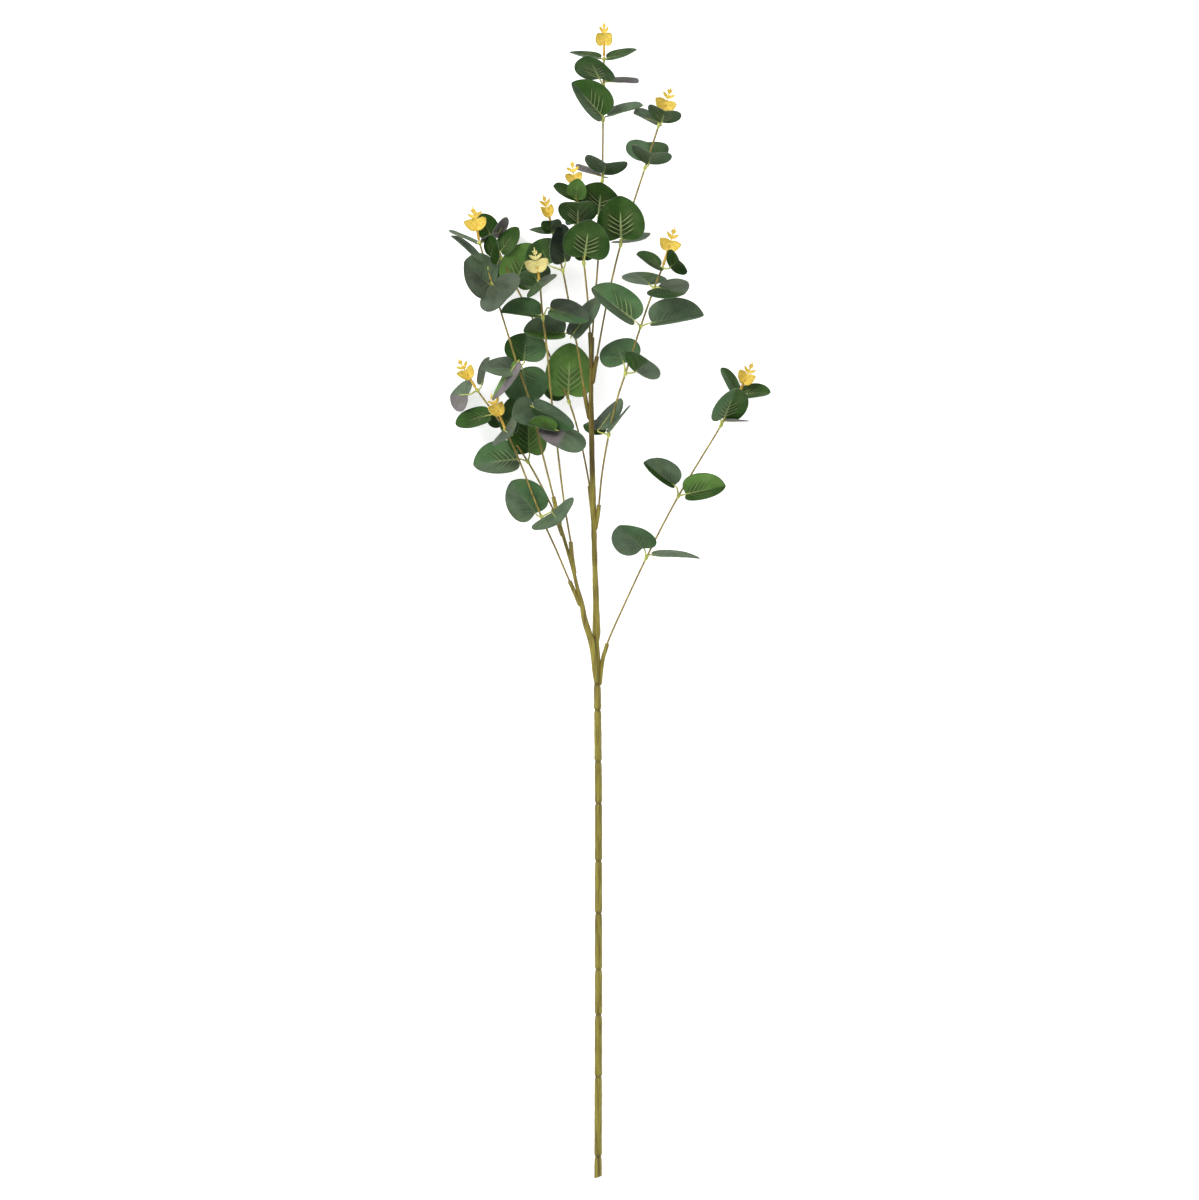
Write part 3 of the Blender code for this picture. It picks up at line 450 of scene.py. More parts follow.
# A pale rim painted along the leaf edge, partly the cloth's cut edge and partly painted sheen.
cloth_colour = leaf_cloth.blend((edge * 6.0).clipped() * 0.45, cloth_colour, CUT_EDGE_AND_SHEEN)
ink = (patches * 2.2 - 0.3).clipped() * 0.7 + 0.35
pale_print = rib * shows * ink + pale_vein * (shows * 0.2 + 0.03)
leaf_cloth.feed("Base Color", leaf_cloth.blend(pale_print.clipped(), cloth_colour, PALE_RIB))
leaf_cloth.feed("Roughness", fine * 0.25 + broad * 0.2 + 0.28)
height = rib * 0.6 - vein * 0.22 + broad * 0.9 + fine * 0.3 + threads * 0.08
leaf_cloth.relief(height, CLOTH_RELIEF)
print("nodes in all:", len(leaf_cloth.tree.nodes))

# %% [markdown]
# ## Plastic and paper tape
# The wires are wound with brown green tape, the joints and leaf stalks are soft yellow green
# plastic, the sleeves are moulded with lengthwise streaks, and the sprigs are a grainy yellow
# plastic. Each could be a material of its own, but they differ only in colour and grain. So one
# recipe serves them all: two colours mixed by a noise that is stretched along the piece.


# %% A streaked plastic
def streaked(name, dark, light, along, grain, depth, roughness, browner=0.0):
    """Two colours in streaks that are stretched by along; browner darkens them toward the leaves."""
    finish = Finish(name, Specular_IOR_Level=0.4)
    where = finish.stretched(finish.place(), (1.0, 1.0 / along, 1.0))
    streaks = finish.noise(grain, 4.0, where)
    specks = finish.noise(grain * 6.0, 2.0)
    up_the_stem = finish.node("ShaderNodeSeparateXYZ", {}, {0: finish.place()}, 1)
    share = (streaks - 0.5) * 2.6 + 0.6 - up_the_stem.above(0.084, 25.0) * browner
    colour = finish.blend(share.clipped(), linear(dark), linear(light))
    groove = finish.stored("Fac")
    finish.feed("Base Color", finish.brighter(colour, (specks * 0.5 + 0.75) * groove))
    finish.feed("Roughness", streaks * 0.3 + roughness - 0.15)
    finish.relief(streaks + specks * 0.4, depth)
    return finish.material


# %% Tape, plastics and sprigs
wire_tape = streaked("wire_tape", "5a4a1e", "9c8b44", 8.0, 700.0, 0.0003, 0.6)
stalk_green = streaked("stalk_green", "858d3a", "bcc062", 3.0, 600.0, 0.0002, 0.5)
sleeve_olive = streaked("sleeve_olive", "5b4b12", "928832", 14.0, 520.0, 0.0006, 0.45, browner=0.5)
sprig_yellow = streaked("sprig_yellow", "c6a235", "e5cb5b", 1.0, 500.0, 0.0005, 0.55)
sprig_pale = streaked("sprig_pale", "b09c48", "e6dd9a", 0.6, 900.0, 0.0006, 0.55)
sprig_stalk = streaked("sprig_stalk", "a87a2a", "d6b044", 4.0, 500.0, 0.0003, 0.55)
print("nodes in the tape:", len(wire_tape.node_tree.nodes))

# %% [markdown]
# ## The steel core
# A drawn wire runs up the stem to stiffen it, and only its cut end shows. A plain grey would do for
# so small a spot, but drawn wire has fine lines along it. So the solid stays as it is and gets a
# metal whose roughness is stretched along the wire.

# %% Drawn steel
core_steel = Finish("core_steel", Metallic=1.0, Base_Color=linear("a8a8aa"))
drawn = core_steel.noise(900.0, 3.0, core_steel.stretched(core_steel.place(), (1.0, 0.05, 1.0)))
core_steel.feed("Roughness", drawn * 0.3 + 0.2)
core_steel.relief(drawn, 0.0001)
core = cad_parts["steel_core"]
core.data.materials.clear()
core.data.materials.append(core_steel.material)
print("the core is now made of", core.data.materials[0].name)

# %% [markdown]
# ## A sheet of points
# Every piece here is a net of rows and columns of points: a leaf is a round net with a front and a
# back, and a tube is a row of rings. Adding a Blender object for each leaf and joining them later
# would be slow. This small collector keeps the points, the faces and what is stored on them, and
# makes one mesh at the end.


# %% Faces between the points
def net_faces(rows, columns, start=0, closed=False, flip=False):
    """Quads between neighbouring rows; closed joins the last column to the first."""
    faces = []
    for row in range(rows - 1):
        for column in range(columns if closed else columns - 1):
            nearby = (column + 1) % columns
            a, b = start + row * columns + column, start + row * columns + nearby
            face = [a, b, b + columns, a + columns]
            faces.append(face[::-1] if flip else face)
    return faces


print("a net of 2 by 3 points:", net_faces(2, 3))


# %% The collector
def add_object(name, data):
    """An object with this data, put into the scene."""
    made = bpy.data.objects.new(name, data)
    bpy.context.scene.collection.objects.link(made)
    return made


class Collector:
    def __init__(self):
        self.points, self.faces, self.flat, self.tints, self.slots = [], [], [], [], []
        self.count = 0

    def add(self, points, faces, flat, tints, slot):
        """Points in drawing millimetres, with flat coordinates and a colour for each."""
        self.points.append(points)
        self.faces.extend([[index + self.count for index in face] for face in faces])
        self.flat.append(flat)
        self.tints.append(tints)
        self.slots.extend([slot] * len(faces))
        self.count += len(points)

    def make(self, name, materials, replaced, slot):
        """Makes the piece, gives it its finishes and lets it stand for a solid."""
        points = np.concatenate(self.points) * MM + np.array(SHIFT)
        mesh = bpy.data.meshes.new(name)
        mesh.from_pydata(points.tolist(), [], self.faces)
        for material in materials:
            mesh.materials.append(material)
        mesh.polygons.foreach_set("material_index", self.slots)
        mesh.polygons.foreach_set("use_smooth", [True] * len(self.faces))
        corners = np.zeros(len(mesh.loops), np.int32)
        mesh.loops.foreach_get("vertex_index", corners)
        flat = np.concatenate(self.flat)[corners].astype(np.float32)
        mesh.uv_layers.new(name="leaf").data.foreach_set("uv", flat.ravel())
        tints = np.concatenate(self.tints).astype(np.float32)
        mesh.attributes.new("tint", "FLOAT_COLOR", "POINT").data.foreach_set("color", tints.ravel())
        mesh.update()
        piece = add_object(name, mesh)
        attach(piece, "root")
        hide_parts(replaced)
        return piece


# %% [markdown]
# ## Tubes
# A wire, a stalk and a sleeve are all rings of points carried along a line. A curve object with a
# bevel makes such a tube too, but rings take any radius at any place, and a shade for each ring.
# Turning the ring as little as possible from one point to the next keeps the streaks from twisting.
# A ridge count and height give the sleeves the lengthwise edges that their moulds leave.


# %% Rings along a line
def ring_rows(line, radii, sides, ridges=0, ridge=0.0):
    """One ring of points for each point of the line."""
    rows = []
    normal = None
    for index, point in enumerate(line):
        ahead = line[min(index + 1, len(line) - 1)] - line[max(index - 1, 0)]
        ahead.normalize()
        if normal is None:
            normal = ahead.orthogonal().normalized()
        normal = (normal - ahead * normal.dot(ahead)).normalized()
        other = ahead.cross(normal)
        row = []
        for turn in range(sides):
            angle = 2 * math.pi * turn / sides
            radius = radii[index] * (1 + ridge * math.cos(ridges * angle))
            row.append(point + (normal * math.cos(angle) + other * math.sin(angle)) * radius)
        rows.append(row)
    return rows


# %% A skin over the rings
def add_tube(collector, rows, slot=0, caps=True, shades=None):
    """A skin over the rings, with flat caps unless they are turned off, and a shade for each ring."""
    sides = len(rows[0])
    points = np.array([point[:] for row in rows for point in row])
    faces = net_faces(len(rows), sides, closed=True)
    if caps:
        faces.append(list(range(sides))[::-1])
        faces.append([len(points) - sides + turn for turn in range(sides)])
    along = np.repeat(np.linspace(0, 1, len(rows)), sides)
    around = np.tile(np.linspace(0, 1, sides, endpoint=False), len(rows))
    tints = np.ones((len(points), 4))
    if shades is not None:
        tints[:, :3] = np.repeat(shades, sides)[:, None]
    collector.add(points, faces, np.stack([around, along], 1), tints, slot)


# %% Lines to carry the rings along
def smooth_line(points, gap):
    """Points about this far apart on a smooth curve through the given ones."""
    points = [Vector(point) for point in points]
    ends = [points[0] * 2 - points[1], *points, points[-1] * 2 - points[-2]]
    line = []
    for before, start, end, after in zip(ends, ends[1:], ends[2:], ends[3:]):
        steps = max(1, math.ceil((end - start).length / gap))
        for step in range(steps):
            share = step / steps
            line.append(0.5 * (
                2 * start
                + (end - before) * share
                + (2 * before - 5 * start + 4 * end - after) * share ** 2
                + (3 * start - before - 3 * end + after) * share ** 3
            ))
    return line + [points[-1]]


def part_of(points, distance):
    """The first points of the line, ending at this distance along it."""
    kept = [points[0]]
    for start, end in zip(points, points[1:]):
        length = (end - start).length
        if length >= distance:
            return kept + [start.lerp(end, distance / length)]
        kept.append(end)
        distance -= length
    return kept


print("points on a line of 10 mm:", len(smooth_line([(0, 0, 0), (0, 10, 0)], 2.5)))

# %% [markdown]
# ## A leaf
# A real leaf is cut from flat cloth and pressed, and Blender's cloth simulation could drape one. It
# would take minutes, and the tips would end up anywhere. Here a flat round net is bent in steps: it
# is made wider near the stalk, the two base lobes are pulled back past the stalk, the halves are
# folded up along the middle, the edge is waved, and the whole is curled along its length. Between
# the ribs the cloth is pressed into soft pillows.

# %% Sizes of a leaf
BLADE_THICKNESS = 0.55
OVATE = 0.26
LOBE = 0.24
POINT = 0.03
WAVE = 0.5
PILLOWS = 6.2
PILLOW_SLANT = 0.4
RIPPLES = 7
FINE = 26
print("points in a leaf:", 2 * (FINE + 1) ** 2)


# %% Bend a round net into a leaf
def leaf_net(leaf, wave, cells, relief, point):
    """Rows of points on the middle of the leaf, in its own frame, with their flat coordinates."""
    line = np.linspace(-1, 1, cells + 1)
    u, v = np.meshgrid(line, line, indexing="ij")
    across = u * np.sqrt(1 - v * v / 2)
    upward = v * np.sqrt(1 - u * u / 2)
    away = np.abs(across)
    share = (upward + 1) / 2
    flat = np.stack([(across + 1) / 2, share], -1)
    side = across * (1 + OVATE * (0.5 - share)) * leaf.width / 2
    slant = share - away * PILLOW_SLANT
    fade = np.clip((0.85 - away) * 3, 0, 1) * np.clip((0.66 - slant) * 6, 0, 1)
    pillows = -np.cos((slant - 0.13) * PILLOWS * 2 * math.pi) * fade * np.clip(away * 5, 0, 1)
    share = share + point * share ** 5 * (1 - away) ** 2
    share = share - LOBE * away * (1 - share) ** 2
    rim = across ** 2 + upward ** 2
    angle = np.arctan2(across, upward)
    ripple = 0.3 * rim ** 3 * np.sin(RIPPLES * angle + wave * 3)
    fold = math.radians(leaf.fold)
    crease = np.sqrt(side ** 2 + 0.35) - 0.59
    height = crease * math.sin(fold) + WAVE * rim * np.sin(wave + 2.5 * angle)
    height = height + relief * (pillows + ripple)
    curl = math.radians(leaf.curl) or 1e-6
    bend = curl * share
    reach = leaf.length * np.sin(bend) / curl - height * np.sin(bend)
    rise = leaf.length * (1 - np.cos(bend)) / curl + height * np.cos(bend)
    return np.stack([side * math.cos(fold), reach, rise], -1), flat


def turned(heading, lift, roll):
    """Turns local +Y to the heading, lifts the far end and rolls about its length."""
    return (
        Matrix.Rotation(math.radians(heading - 90), 4, "Z")
        @ Matrix.Rotation(math.radians(lift), 4, "X")
        @ Matrix.Rotation(math.radians(roll), 4, "Y")
    )


# %% Colour of each half
def half_tints(flat, letters, strong):
    """Colour of each point, one letter left of the middle and one right of it, and how ribs show. The
    letters give each half its own cloth colour together with painted sheen and painted shade.
    """
    shows = [max(RIB_SHOWS[letter], strong) for letter in letters]
    left, right = [np.array([*linear(TONES[letter])[:3], show]) for letter, show in zip(letters, shows)]
    share = np.clip((flat[..., 0:1] - 0.5) * 9 + 0.5, 0, 1)
    return left * (1 - share) + right * share


def side_tones(tone, faces_up):
    """Letters of the front and of the back, and how strongly the ribs are printed."""
    left, right, *mark = tone
    seen = [left, right] if faces_up else [right, left]
    unseen = seen if left == "Y" else 2 * (LOWER_TONE if faces_up else UPPER_TONE)
    strong = PRINTED[mark[0]] if mark else 0
    return (seen, unseen, strong) if faces_up else (unseen, seen, strong)


print("front, back and print:", side_tones("DG*", True))


# %% Thicken it
def rim_of(rows):
    """Numbers of the points round the edge of a square net."""
    rim = list(range(rows))
    rim += [row * rows + rows - 1 for row in range(1, rows)]
    rim += [(rows - 1) * rows + column for column in range(rows - 2, -1, -1)]
    return rim + [row * rows for row in range(rows - 2, 0, -1)]


def add_leaf(collector, leaf, place, wave, cells, relief, point=POINT):
    """Front and back of one leaf and the rim between them."""
    net, flat = leaf_net(leaf, wave, cells, relief, point)
    normal = np.cross(np.gradient(net, axis=0), np.gradient(net, axis=1))
    normal /= np.linalg.norm(normal, axis=-1, keepdims=True) + 1e-9
    turn = np.array(place)
    faces_up = (turn[:3, :3] @ normal[cells // 2, cells // 2])[2] > 0
    front_tones, back_tones, strong = side_tones(leaf.tone, faces_up)
    rows = cells + 1
    count = rows * rows
    front = (net + normal * BLADE_THICKNESS / 2).reshape(-1, 3)
    back = (net - normal * BLADE_THICKNESS / 2).reshape(-1, 3)
    points = np.concatenate([front, back]) @ turn[:3, :3].T + turn[:3, 3]
    faces = net_faces(rows, rows, flip=True) + net_faces(rows, rows, start=count)
    rim = rim_of(rows)
    for first, second in zip(rim, rim[1:] + rim[:1]):
        faces.append([second, first, first + count, second + count])
    flats = np.concatenate([flat.reshape(-1, 2)] * 2)
    tints = [half_tints(flat, tones, strong).reshape(-1, 4) for tones in (front_tones, back_tones)]
    collector.add(points, faces, flats, np.concatenate(tints), 0)
    return net


print("points on its edge:", len(rim_of(FINE + 1)))

# %% [markdown]
# ## The branches
# Each wire is one smooth line from its end joint into the sleeve, a little thicker at each joint
# where the plastic collar sits. The collars could be beads pushed over a plain wire, but moulded
# ones swell softly, so the wire's own radius swells. The leaf stalks leave the collars and run on
# under the leaves as a thin raised midrib, which is what holds a cloth leaf stiff.

# %% Sizes of wires and stalks
WIRE_RADIUS = 0.82
WIRE_DEPTH = 9.0
WIRE_END = 1.6
COLLAR_RADIUS = 1.65
COLLAR_LENGTH = 2.6
PETIOLE_RADIUS = 0.8
PETIOLE_ELBOW = 3.0
MIDRIB_SHARES = (0.1, 0.22, 0.36, 0.5)
STALK, TAPE = 0, 1
print("collar to wire:", round(COLLAR_RADIUS / WIRE_RADIUS, 1))


# %% Wires and collars
def collar_bulge(distance):
    """How much the wire's radius grows at this distance from a joint."""
    return (COLLAR_RADIUS - WIRE_RADIUS) * math.exp(-(distance / 1.7) ** 4)


def wire_line(branch, joints):
    """Points from the free end of the wire to its hidden one, closer together near the joints."""
    inside = part_of([Vector(point) for point in branch.mouth], WIRE_DEPTH)
    line = smooth_line([*branch.route, *inside], 2.5)
    outward = (joints[0] - Vector(branch.route[1])).normalized()
    dense = [joints[0] + outward * WIRE_END]
    for first, last in zip(line, line[1:]):
        dense.append(first)
        if any((first - joint).length < 4 for joint in joints):
            dense.extend([first.lerp(last, 0.33), first.lerp(last, 0.67)])
    return dense + [line[-1]]


def add_wire(collector, branch):
    """The wire in lengths: tape between the joints, and yellow green plastic at them."""
    joints = [Vector(stop) for stop in branch.route if isinstance(stop, Joint)]
    line = wire_line(branch, joints)
    away = [min((point - joint).length for joint in joints) for point in line]
    rows = ring_rows(line, [WIRE_RADIUS + collar_bulge(distance) for distance in away], 12)
    plastic = [distance < COLLAR_LENGTH for distance in away]
    first = 0
    for index in range(1, len(line)):
        if plastic[index] != plastic[index - 1] or index == len(line) - 1:
            add_tube(collector, rows[first:index + 1], STALK if plastic[index - 1] else TAPE)
            first = index
    return joints


# %% Leaf stalks
def add_stalk(collector, joint, place, net):
    """A leaf stalk from the joint, its elbow, and the midrib under the leaf."""
    base = Vector(place.translation)
    elbow = place @ Vector((0, -min(PETIOLE_ELBOW, (base - joint).length / 2), 0))
    middle = net[net.shape[0] // 2]
    run = [middle[round(share * (len(middle) - 1))] for share in MIDRIB_SHARES]
    under = [place @ (Vector(point) - Vector((0, 0, 0.25))) for point in run]
    line = smooth_line([joint, elbow, base] + under, 1.6)
    total = sum((end - start).length for start, end in zip(line, line[1:]))
    done, radii = 0.0, []
    for index, point in enumerate(line):
        done += (point - line[index - 1]).length if index else 0.0
        radii.append(PETIOLE_RADIUS * (1 - 0.72 * done / total))
    add_tube(collector, ring_rows(line, radii, 8), STALK)


# %% [markdown]
# ## The sprigs
# At the end of each wire sits a young shoot in yellow plastic: a stalk, a cupped pair of scales, a
# narrow pair above it, two tiny scales and a bud. It could be sculpted once and copied, but the cups
# open wider on some than on others. The scales are small leaves, so the leaf's own net makes them,
# and a row of rings makes the stalk and the bud.

# %% Sizes of a sprig
GAP = 0.3
TIP_NECK = 9.0
PIN_RADIUS = 0.6
PIN_LENGTH = 2.4
BUD = [(2.2, 0.6), (3.4, 1.0), (5.0, 0.95), (6.6, 0.5), (8.0, 0.25)]
SCALE_RELIEF = 0.1
SCALE_POINT = 0.08
YELLOW, GOLD = 0, 1
print("a bud is", BUD[-1][0], "mm long")


# %% Stalk, scales and bud
def add_sprig_stalk(collector, mouth, outward, place, fork, neck):
    """Rings from the pin in the wire's end to the tip of the bud."""
    profile = [(2.0, 1.2), (fork - 2, 1.0), (fork, 1.3), (fork + 2, 0.7), (neck - 2, 0.5), (neck, 0.55)]
    profile += [(neck + reach, radius) for reach, radius in BUD]
    line = [mouth - outward * PIN_LENGTH, mouth + outward * GAP]
    line += [place @ Vector((0, reach, 0)) for reach, _ in profile]
    rows = ring_rows(line, [PIN_RADIUS] * 2 + [radius for _, radius in profile], 10)
    add_tube(collector, rows[:5], GOLD)
    add_tube(collector, rows[4:], YELLOW)


def add_sprig(collector, branch, chance):
    """Stalk and bud, a cupped pair, a narrow pair and two tiny scales."""
    tip = branch.tip
    centre, second = Vector(branch.route[0]), Vector(branch.route[1])
    outward = (centre - second).normalized()
    mouth = centre + outward * WIRE_END
    place = Matrix.Translation(mouth) @ turned(tip.heading, tip.lift, tip.turn)
    fork, neck = tip.stalk, tip.stalk + TIP_NECK
    add_sprig_stalk(collector, mouth, outward, place, fork, neck)
    pairs = (
        (fork - 1.5, tip.spread, tip.length * tip.cup, tip.width * tip.cup, 10, tip.roll, 18, 26, 12),
        (neck - 2.0, min(tip.spread * 1.15, 58), 6.6, 2.9, 4, 25, 16, 24, 8),
        (neck + 2.0, tip.spread * 0.65, 3.6, 2.0, 0, 30, 12, 30, 6),
    )
    for side in (-1, 1):
        for reach, spread, length, width, lift, roll, fold, curl, cells in pairs:
            scale = Leaf(0, None, 90 - side * spread, length, width, lift, -side * roll, fold, curl)
            where = place @ Matrix.Translation((0, reach, 0)) @ turned(scale.heading, lift, scale.roll)
            add_leaf(collector, scale, where, chance.uniform(0, 6), cells, SCALE_RELIEF, SCALE_POINT)


# %% [markdown]
# ## Putting the branches together
# A real branch is pushed together from many small parts. Each could be an object of its own, but
# that would make hundreds. Three pieces for a branch are enough: its leaves, its wire and its sprig,
# since these differ in finish. A seeded draw gives each leaf another wave, the same in every run.

# %% Make every branch
SEED = 7
BLADE_RELIEF = 0.22
chance = random.Random(SEED)
for branch in BRANCHES:
    foliage, wire, sprig = Collector(), Collector(), Collector()
    joints = add_wire(wire, branch)
    for leaf in branch.leaves:
        joint = joints[leaf.joint - 1]
        base = joint + Vector(leaf.base)
        place = Matrix.Translation(base) @ turned(leaf.heading, leaf.lift, leaf.roll)
        wave = chance.uniform(0, 2 * math.pi)
        net = add_leaf(foliage, leaf, place, wave, FINE, BLADE_RELIEF)
        add_stalk(wire, joint, place, net)
    add_sprig(sprig, branch, chance)
    node = branch.name + "_branch"
    leaves = foliage.make(branch.name + "_leaves", [leaf_cloth.material], node, "leaf_green")
    wire.make(branch.name + "_wire", [stalk_green, wire_tape], node, "stem_olive")
    yellow = sprig_pale if branch.name == "front_left" else sprig_yellow
    sprig.make(branch.name + "_sprig", [yellow, sprig_stalk], branch.name + "_tip", "tip_yellow")
    print(branch.name, "leaf faces:", len(leaves.data.polygons))

# %% [markdown]
# ## The sleeves
# The main sleeve is one long moulding with pinched necks and lengthwise ridges. It is cut on a
# slant at its foot, where the steel core shows. The second sleeve lies against it in the fork. A
# turned profile would make the necks, but the stem isn't quite straight, so both are rings along a
# line.

# %% Where the main sleeve runs
STEM_LINE = [
    (0.0, 0.0), (0.4, 148.0), (0.4, 316.0), (-0.4, 399.5), (-0.8, 416.0), (-1.7, 483.0),
    (-2.8, 517.0), (-5.0, 600.5), (-5.9, 651.0), (-5.2, 692.0),
]
STEM_BASE_Z = 2.75
STEM_SLOPE = 0.062
stem_length = STEM_LINE[-1][1]
lengths = np.append(np.arange(0, stem_length, 1.0), stem_length)


def stem_centre(y):
    """Middle of the main sleeve at this length."""
    x = np.interp(y, [point[1] for point in STEM_LINE], [point[0] for point in STEM_LINE])
    return Vector((x, y, STEM_BASE_Z + STEM_SLOPE * y))


print("rings on it:", len(lengths))

# %% How thick it is
SLEEVE_RADIUS = 3.05
SLEEVE_END = 405.0
STEM_NECKS = [17, 84, 136, 174, 221, 265, 313, 348, 391]
STEM_TOP_RADII = [
    (409, 2.9), (413, 2.4), (418, 2.8), (437, 2.8), (448.5, 2.15), (453, 3.0), (458, 3.5),
    (463, 3.2), (475, 2.7), (500, 2.4), (510, 2.0), (520, 2.4), (531.5, 2.05), (537, 2.4),
    (547.5, 2.1), (553, 2.4), (600, 2.25), (640, 2.2), (651, 1.9), (692, 1.7),
]


def dips(y, width):
    """1 in the middle of each pinched neck, fading to about a third at this distance from it."""
    return sum(np.exp(-((y - middle) / width) ** 2) for middle in STEM_NECKS)


profile = [(0.0, SLEEVE_RADIUS), (SLEEVE_END, SLEEVE_RADIUS), *STEM_TOP_RADII]
stem_radii = np.interp(lengths, [y for y, _ in profile], [radius for _, radius in profile])
necks, grooves, rings = dips(lengths, 3.0), dips(lengths, 0.9), dips(lengths - 3.2, 1.4)
stem_radii = stem_radii - 0.28 * necks - 0.5 * grooves + 0.22 * rings
stem_radii = stem_radii * (1 + 0.02 * np.sin(lengths * 0.31) + 0.015 * np.sin(lengths * 0.83 + 1))
stem_shades = 1 - 0.5 * dips(lengths, 1.1).clip(0, 1)
print("radius in mm from", round(stem_radii.min(), 2), "to", round(stem_radii.max(), 2))


# %% [markdown]
# ## Mouths for the wires
# Each wire goes into a short open tube on the side of a sleeve. A boolean could cut the hole, but it
# leaves untidy faces that shade badly. So a mouth is an outer tube and an inner one, joined by a flat
# lip, and a floor closes the inner one.

# %% Lip, floor and mouths
MOUTH_RADIUS = 1.8
MOUTH_END_RADIUS = 1.1
MOUTH_SIDES = 16


def bridge_lip(collector, outer, inner):
    """A flat ring between the outer edge of a mouth and its bore, matched by the nearest points."""
    start = min(range(len(inner)), key=lambda turn: (inner[turn] - outer[0]).length)
    step = 1
    ahead = inner[(start + 1) % len(inner)]
    if (ahead - outer[1]).length > (inner[start - 1] - outer[1]).length:
        step = -1
    matched = [inner[(start + step * turn) % len(inner)] for turn in range(len(inner))]
    add_tube(collector, [outer, matched], caps=False)


def add_floor(collector, ring):
    """A flat face that closes a ring."""
    points = np.array([point[:] for point in ring])
    flat = np.zeros((len(ring), 2))
    collector.add(points, [list(range(len(ring)))], flat, np.ones((len(ring), 4)), 0)


def add_mouths(collector, sleeve):
    """Open-ended tubes, each with a bore that its wire goes into."""
    for branch in BRANCHES:
        if branch.sleeve != sleeve:
            continue
        line = smooth_line(branch.mouth, 2.0)[::-1]
        radii = [MOUTH_END_RADIUS] + [MOUTH_RADIUS] * (len(line) - 1)
        outer = ring_rows(line, radii, MOUTH_SIDES, 6, 0.03)
        back = part_of(line[::-1], WIRE_DEPTH + GAP)
        inner = ring_rows(back, [WIRE_RADIUS + GAP] * len(back), MOUTH_SIDES)
        add_tube(collector, outer, caps=False)
        add_tube(collector, inner, caps=False)
        bridge_lip(collector, outer[-1], inner[0])
        add_floor(collector, inner[-1])


print("mouths to make:", len(BRANCHES))

# %% The main sleeve
CORE_RADIUS = 1.0
BORE_SHOWN = 1.2
CUT_SLANT = math.tan(math.radians(20.0))
SLEEVE_SIDES = 32


def slanted(ring, centre):
    """The ring sheared along the stem, so that the cut across it is slanted."""
    return [point + Vector((0, CUT_SLANT * (point.x - centre.x), 0)) for point in ring]


main = Collector()
centres = [stem_centre(y) for y in lengths]
skin = ring_rows(centres, stem_radii, SLEEVE_SIDES, 7, 0.06)
skin[0] = slanted(skin[0], centres[0])
bore = ring_rows([centres[0], stem_centre(BORE_SHOWN)], [CORE_RADIUS + GAP] * 2, SLEEVE_SIDES)
bore[0] = slanted(bore[0], centres[0])
add_tube(main, skin, caps=False, shades=stem_shades)
add_floor(main, skin[-1])
bridge_lip(main, skin[0][::-1], bore[0])
add_tube(main, bore[::-1], caps=False)
add_mouths(main, "main_stem")
main_sleeve = main.make("main_sleeve", [sleeve_olive], "main_stem", "stem_olive")
print("faces:", len(main_sleeve.data.polygons))

# %% The left sleeve
LEFT_STEM = [
    (-34.4, 556.0, 42.9, 1.4), (-32.7, 549.4, 42.3, 1.4), (-25.1, 523.4, 40.3, 1.4),
    (-20.5, 507.5, 39.0, 1.5), (-17.2, 493.3, 38.0, 1.6), (-13.7, 481.0, 37.1, 2.0),
    (-11.1, 466.5, 36.2, 2.6), (-5.9, 449.7, 35.2, 2.8), (-3.7, 437.2, 34.6, 2.5),
    (-2.8, 424.6, 33.8, 2.2), (-1.6, 413.7, 32.8, 1.6),
]
left = Collector()
left_line = smooth_line([point[:3] for point in LEFT_STEM], 2.0)
given_y = [point[1] for point in LEFT_STEM[::-1]]
given_radii = [point[3] for point in LEFT_STEM[::-1]]
left_radii = np.interp([point.y for point in left_line], given_y, given_radii)
add_tube(left, ring_rows(left_line, left_radii, 24, 6, 0.045))
add_mouths(left, "left_stem")
left_sleeve = left.make("left_sleeve", [sleeve_olive], "left_stem", "stem_olive")
print("faces:", len(left_sleeve.data.polygons))

# %% [markdown]
# ## Table and light
# The stem lies on a plain white table under soft light from all round, as in a catalogue picture.
# The shadows could be painted out of the picture afterwards. Here the table glows a little, which
# weakens them in the render itself, from whatever side it is made.

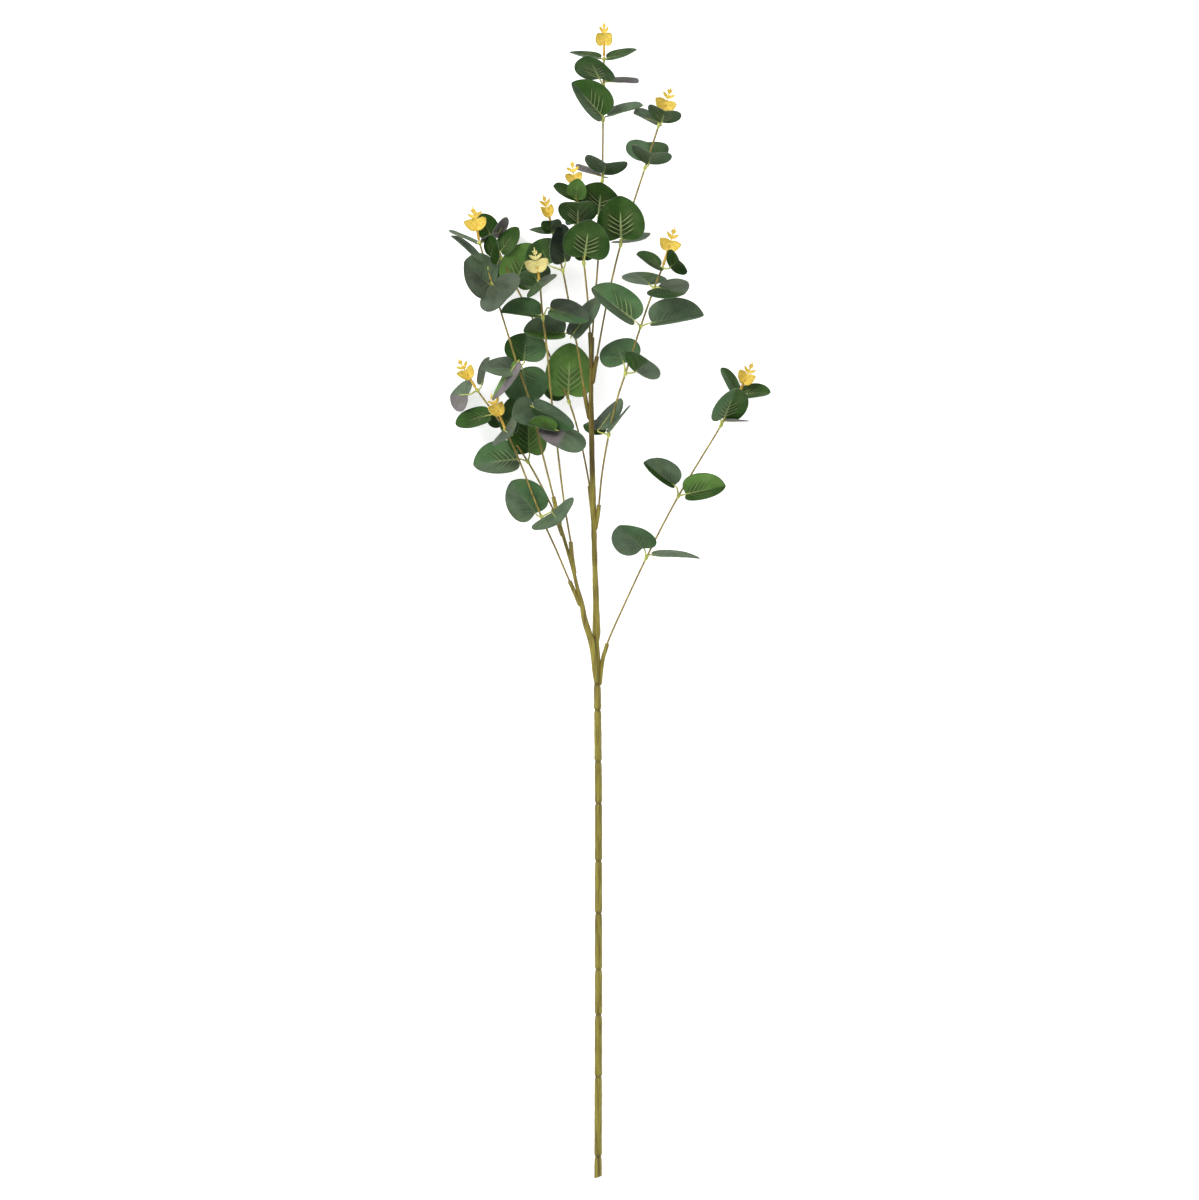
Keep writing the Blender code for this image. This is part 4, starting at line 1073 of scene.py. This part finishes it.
# %% Table
TABLE_HALF = 3.0
TABLE_GLOW = 0.55
WHITE = (1.0, 1.0, 1.0, 1.0)
table = bpy.data.meshes.new("table")
low, high = -TABLE_HALF, TABLE_HALF
table.from_pydata([(low, low, 0), (high, low, 0), (high, high, 0), (low, high, 0)], [], [(0, 1, 2, 3)])
lit_table = Finish("lit_table", Roughness=0.9, Base_Color=(0.8, 0.8, 0.8, 1.0))
lit_table.shader.inputs["Emission Color"].default_value = WHITE
lit_table.shader.inputs["Emission Strength"].default_value = TABLE_GLOW
table.materials.append(lit_table.material)
floor = add_object("table", table)
floor.location.z = -0.0005
print("the table is", 2 * TABLE_HALF, "m wide")

# %% Soft light
WORLD_LIGHT = 0.68
world = bpy.data.worlds.new("soft_room")
world.use_nodes = True
background = world.node_tree.nodes["Background"]
background.inputs["Color"].default_value = WHITE
background.inputs["Strength"].default_value = WORLD_LIGHT
bpy.context.scene.world = world
for name, place, size, power in (
    ("key_light", (-0.9, 1.1, 1.6), 0.9, 36.0),
    ("fill_light", (1.2, -0.6, 1.8), 1.6, 10.0),
):
    lamp = bpy.data.lights.new(name, "AREA")
    lamp.size = size
    lamp.energy = power
    holder = add_object(name, lamp)
    holder.location = place
    holder.rotation_mode = "QUATERNION"
    holder.rotation_quaternion = (-Vector(place)).to_track_quat("-Z", "Y")
bpy.context.scene.view_settings.view_transform = "Standard"
print("lights:", [light.name for light in bpy.data.lights])

# %% [markdown]
# ## Camera
# The picture is taken from straight above. An orthographic camera would draw high and low leaves at
# one size, but a real lens doesn't quite. A very long lens from far away comes close to both.

# %% A long lens from above
MM_PER_PIXEL = 0.8375
PHOTO_WIDTH, PHOTO_HEIGHT = 1199, 1200
FOOT_PIXEL = (598, 1177)
DISTANCE = 25.0
lens = bpy.data.cameras.new("catalogue_camera")
lens.sensor_width = 36.0
lens.lens = lens.sensor_width * DISTANCE / (PHOTO_HEIGHT * MM_PER_PIXEL * MM)
lens.clip_end = 100.0
camera = add_object("catalogue_camera", lens)
middle_x = (PHOTO_WIDTH / 2 - FOOT_PIXEL[0]) * MM_PER_PIXEL * MM + SHIFT.x
middle_y = (FOOT_PIXEL[1] - PHOTO_HEIGHT / 2) * MM_PER_PIXEL * MM + SHIFT.y
camera.location = (middle_x, middle_y, DISTANCE)
bpy.context.scene.camera = camera
print("lens in mm:", round(lens.lens))
